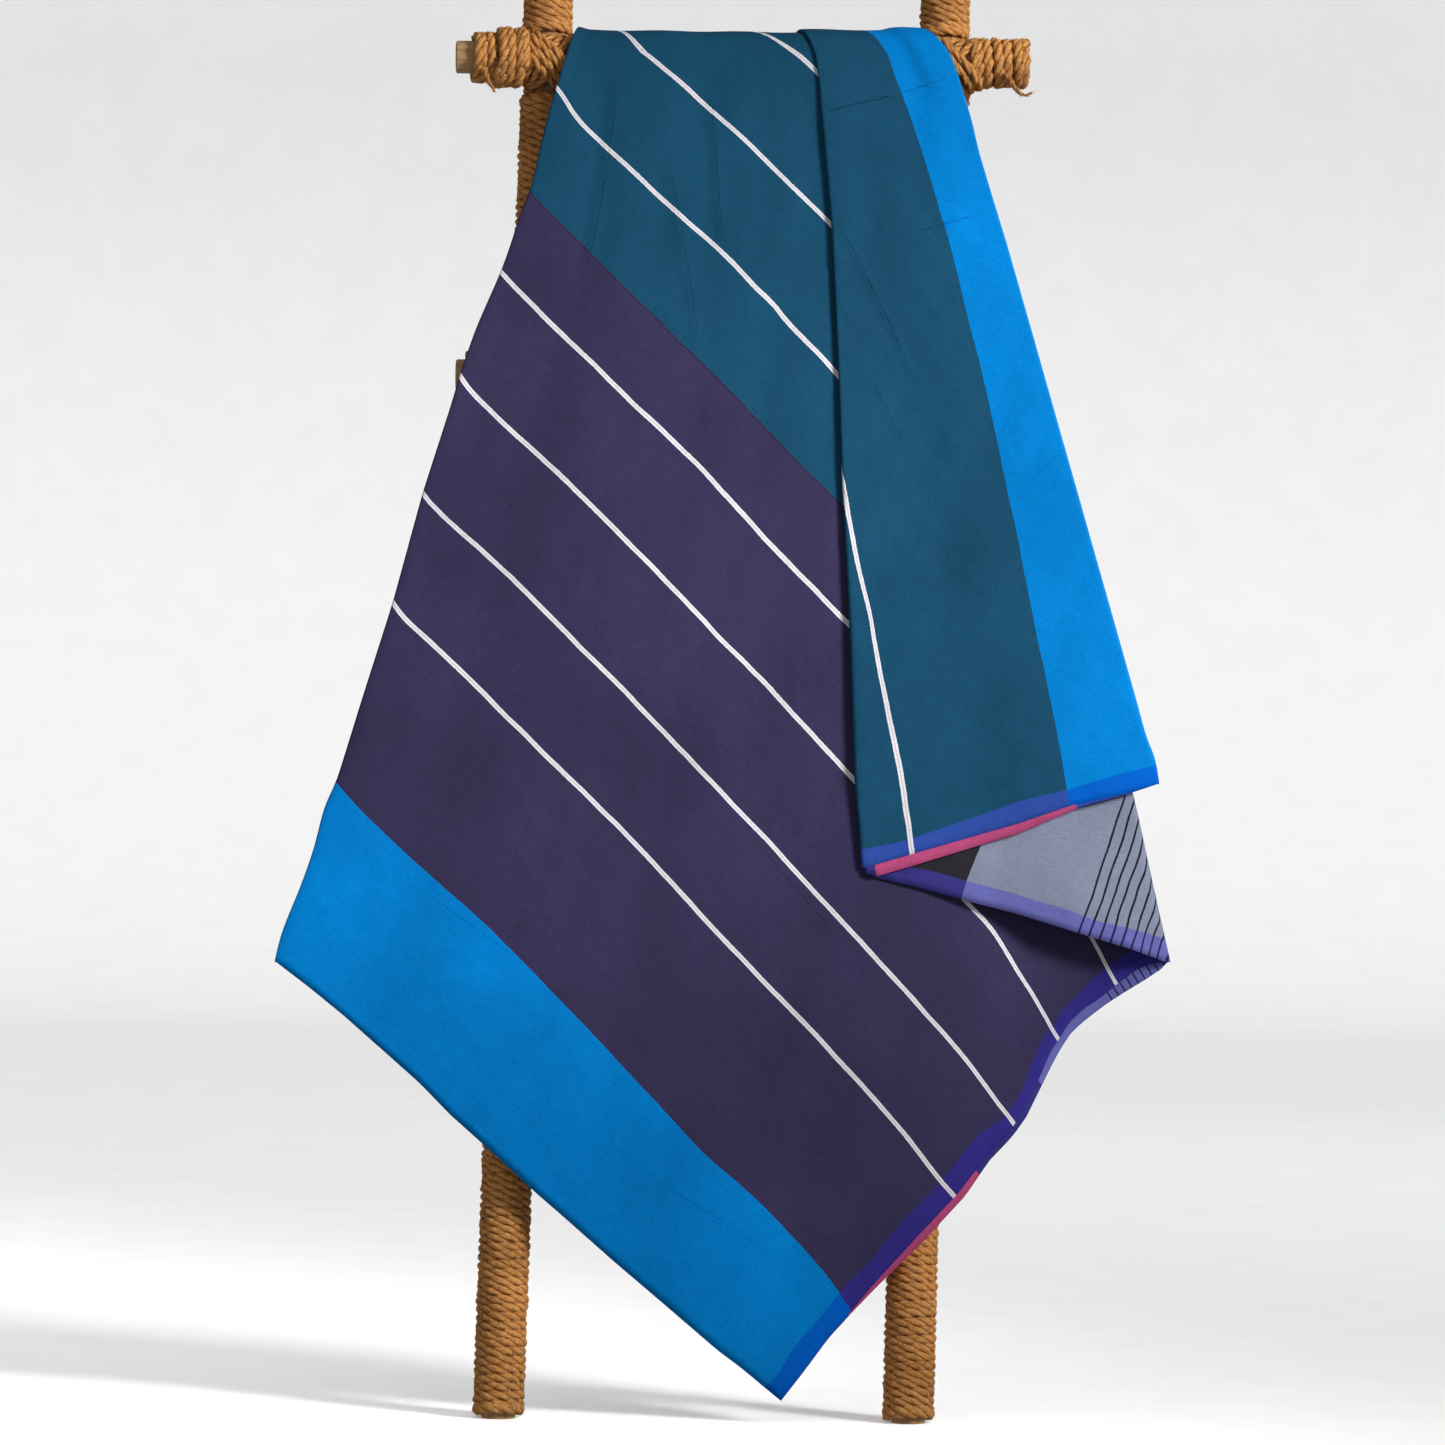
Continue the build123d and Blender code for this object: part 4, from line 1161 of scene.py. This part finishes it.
total = 0
feet = {side: pole_foot(side) for side in ("left", "right")}
seed = 100
for side in ("left", "right"):
    for part in ("foot", "low", "middle", "high", "top"):
        node = f"pole_rope_{side}_{part}"
        lo, hi = box_mm(node)
        a = (lo[2] + WRAP_R * TILT) / POLE_DIR[2]
        b = (hi[2] - WRAP_R * TILT) / POLE_DIR[2]
        seed += 1
        rope = Rope(seed)
        a2, b2 = a, b
        a2 = a - 10.2 if part == "foot" else a - 5.0
        if part != "top":
            b2 = b + 5.0
        rope.wind(feet[side], POLE_DIR, a2, b2, seed_phase=seed * 1.3, hairs=0.16, loose=0.16)
        ob = rope.finish("winding_" + node)
        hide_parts(node)
        total += len(ob.data.polygons)
for i in range(1, 5):
    lo, hi = box_mm(f"rung_{i}")
    cy, cz = (lo[1] + hi[1]) / 2, (lo[2] + hi[2]) / 2
    origin = np.array([0.0, cy, cz])
    for part in ("left", "middle", "right"):
        node = f"rung_rope_{i}_{part}"
        lo, hi = box_mm(node)
        seed += 1
        rope = Rope(seed)
        if part == "middle":
            rope.wind(origin, XHAT, lo[0] - 4, hi[0] + 4, seed_phase=seed, hairs=0.08, loose=0.12)
        elif part == "left":
            loose = 1.0 if i == 1 else 0.35
            pts = rope.wind(origin, XHAT, lo[0] + 0.5, hi[0] + 6, pitch=10.6, seed_phase=1.5 + seed, loose=loose, slant=3.6 if i == 1 else 1.2, hairs=0.40)
            if i == 1:
                rope.wind(origin, XHAT, hi[0] - 27, hi[0] + 10, pitch=11.0, rc=CORE_R + 2.2 * ROPE_R, seed_phase=2.0, loose=0.9, slant=6.0, hairs=0.40)
                tail = np.array([(-263.0, cy - 24.5, cz - 13.0), (-261.0, cy - 23.0, cz - 22.0), (-257.5, cy - 21.0, cz - 29.0), (-253.0, cy - 20.0, cz - 35.5), (-251.5, cy - 20.0, cz - 40.0)])
                tail = soften(along(tail, np.linspace(0, 1, 26)), 7)
                rope.tube(tail, scale=np.linspace(0.85, 0.25, 26), hairs=1.6, hair_len=9.0, lay=26)
        else:
            pts = rope.wind(origin, XHAT, lo[0] - 6, hi[0], pitch=10.0, seed_phase=seed, loose=0.45, slant=1.6, hairs=0.32)
            if i == 1:
                tail = np.array([(293.0, cy - 24.0, cz - 12.0), (299.0, cy - 23.0, cz - 21.0), (305.5, cy - 22.0, cz - 30.0), (311.5, cy - 22.0, cz - 35.5), (317.0, cy - 22.5, cz - 36.0), (323.0, cy - 23.0, cz - 32.5)])
                tail = soften(along(tail, np.linspace(0, 1, 30)), 7)
                rope.tube(tail, scale=np.linspace(0.8, 0.22, 30), hairs=1.7, hair_len=8.0, lay=26)
        ob = rope.finish("winding_" + node)
        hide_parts(node)
        total += len(ob.data.polygons)
    # the rungs are lashed to the poles where they cross
    for side in ("left", "right"):
        foot = feet[side]
        off = 2 * CORE_R + 0.3
        P = foot + POLE_DIR / POLE_DIR[2] * (cz - off * SL)
        seed += 1
        rope = Rope(seed)
        rng = rope.rng

        def turns(slope, offs, rho, mirror):
            """Diagonal turns over the rung's front and behind the pole, one after another."""
            pts = []
            for q, o in enumerate(offs):
                o2 = offs[q + 1] if q + 1 < len(offs) else o
                al = np.linspace(math.pi / 2, -math.pi / 2, 22)
                u = rho * np.sin(al)
                seg = np.stack([-u * slope + o + 0 * u, u, off + rho * np.cos(al)], axis=1)
                pts.append(seg)
                be = np.linspace(math.pi / 2, -math.pi / 2, 22)
                x = rho * np.sin(be)
                mid = np.linspace(0, 1, 22)
                ub = rho * 0.9
                shift = (o + (o2 - o) * mid) * 0.75
                seg = np.stack([x, -ub + 2 * ub * mid + shift, -rho * np.cos(be)], axis=1)
                pts.append(seg)
            path = np.concatenate(pts)
            path = along(path, np.linspace(0, 1, 66 * len(offs)))
            path = soften(path, 13)
            path = path + np.stack([slow(rng, len(path), 10, 0.7) for _ in range(3)], axis=1)
            if mirror:
                path = path * np.array([-1.0, 1.0, 1.0])
            return P + path[:, 0:1] * XHAT + path[:, 1:2] * UP + path[:, 2:3] * FRONT

        rc = CORE_R + ROPE_R
        rope.tube(turns(0.70, [-15.0, -4.0, 7.0, 17.0], rc, True), hairs=0.25)
        rope.tube(turns(0.98, [-19.0, -8.5, 3.0, 14.0], rc + 4.4, False), hairs=0.45, hair_len=7.0)
        ob = rope.finish(f"turns_lashing_{i}_{side}")
        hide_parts(f"lashing_{i}_{side}")
        total += len(ob.data.polygons)
print("rope faces", total)

# ------------------------------------------------------------------ floor, light and camera
def studio():
    m = Mat("studio_paper")
    geo = m.node("ShaderNodeTexCoord")
    nz = m.noise(geo.outputs["Object"], 9.0, 4.0, 0.6)
    fine_ = m.noise(geo.outputs["Object"], 420.0, 2.0, 0.6)
    base = m.mix(m.span(nz, 0.2, 0.8), srgb(231, 231, 231), srgb(236, 236, 236))
    m.set(Base_Color=base, Roughness=0.95, Normal=m.bump(fine_, 0.08, 0.0005))
    m.bsdf.inputs["Specular IOR Level"].default_value = 0.0
    return m.mat


prof = [(-14000.0, 0.0), (-4000.0, 0.0), (3000.0, 0.0), (8000.0, 0.0)]
for k in range(1, 17):
    a = math.pi / 2 * k / 16
    prof.append((8000 + 2500 * math.sin(a), 2500 - 2500 * math.cos(a)))
prof.append((10500.0, 9000.0))
prof = np.array(prof)
xs = np.linspace(-11000, 11000, 23)
fv = np.array([[x, y, z] for (y, z) in prof for x in xs])
floor = mesh_object("floor", fv, grid_faces(len(prof), len(xs))[:, ::-1])
floor.data.materials.append(studio())
floor.visible_diffuse = False  # the room it was photographed in threw little light up from below


def area_light(name, loc, aim, size, power, colour=(1, 1, 1), size_y=None):
    data = bpy.data.lights.new(name, "AREA")
    data.energy = power
    data.color = colour
    data.shape = "RECTANGLE"
    data.size = size
    data.size_y = size_y or size
    ob = bpy.data.objects.new(name, data)
    bpy.context.scene.collection.objects.link(ob)
    ob.location = loc
    ob.rotation_euler = (Vector(aim) - Vector(loc)).to_track_quat("-Z", "Y").to_euler()
    return ob


key = area_light("key", (2.9, -2.3, 2.2), (-0.24, 0.0, 0.82), 1.0, 10.0)
key.data.spread = math.radians(35)
area_light("fill", (-2.4, -4.8, 1.3), (-0.1, 0.0, 0.7), 2.4, 14.5)
area_light("behind", (1.6, 4.2, 2.9), (0.0, 0.1, 0.9), 1.6, 7.0)
# one even lamp for the paper alone, so that it stays plain
paper = bpy.data.collections.new("paper")
paper.objects.link(floor)
sun = bpy.data.lights.new("paper_light", "SUN")
sun.energy = 3.45
sun.angle = math.radians(150)
sun_ob = bpy.data.objects.new("paper_light", sun)
bpy.context.scene.collection.objects.link(sun_ob)
sun_ob.rotation_euler = Vector((0.0, 0.87, -0.50)).to_track_quat("-Z", "Y").to_euler()
sun_ob.light_linking.receiver_collection = paper
sun_ob.light_linking.blocker_collection = paper
world = bpy.data.worlds.new("soft_room")
world.use_nodes = True
world.node_tree.nodes["Background"].inputs[0].default_value = (1.0, 1.0, 1.0, 1.0)
world.node_tree.nodes["Background"].inputs[1].default_value = 0.24
bpy.context.scene.world = world
bpy.context.scene.view_settings.view_transform = "Standard"
bpy.context.scene.view_settings.look = "None"
bpy.context.scene.view_settings.exposure = 0.0
bpy.context.scene.view_settings.gamma = 1.0

cam_data = bpy.data.cameras.new("camera")
cam_data.sensor_fit = "HORIZONTAL"
cam_data.sensor_width = 36.0
cam_data.lens = 36.0 * CAM_F
cam_data.clip_end = 60.0
cam_data.dof.use_dof = False
cam = bpy.data.objects.new("camera", cam_data)
bpy.context.scene.collection.objects.link(cam)
cr_, sr_ = math.cos(ROLL), math.sin(ROLL)
cam.matrix_world = Matrix(
    ((cr_, -sr_, 0.0, 0.0), (0.0, 0.0, -1.0, CAM_Y / MM), (sr_, cr_, 0.0, CAM_Z / MM), (0.0, 0.0, 0.0, 1.0))
)
bpy.context.scene.camera = cam
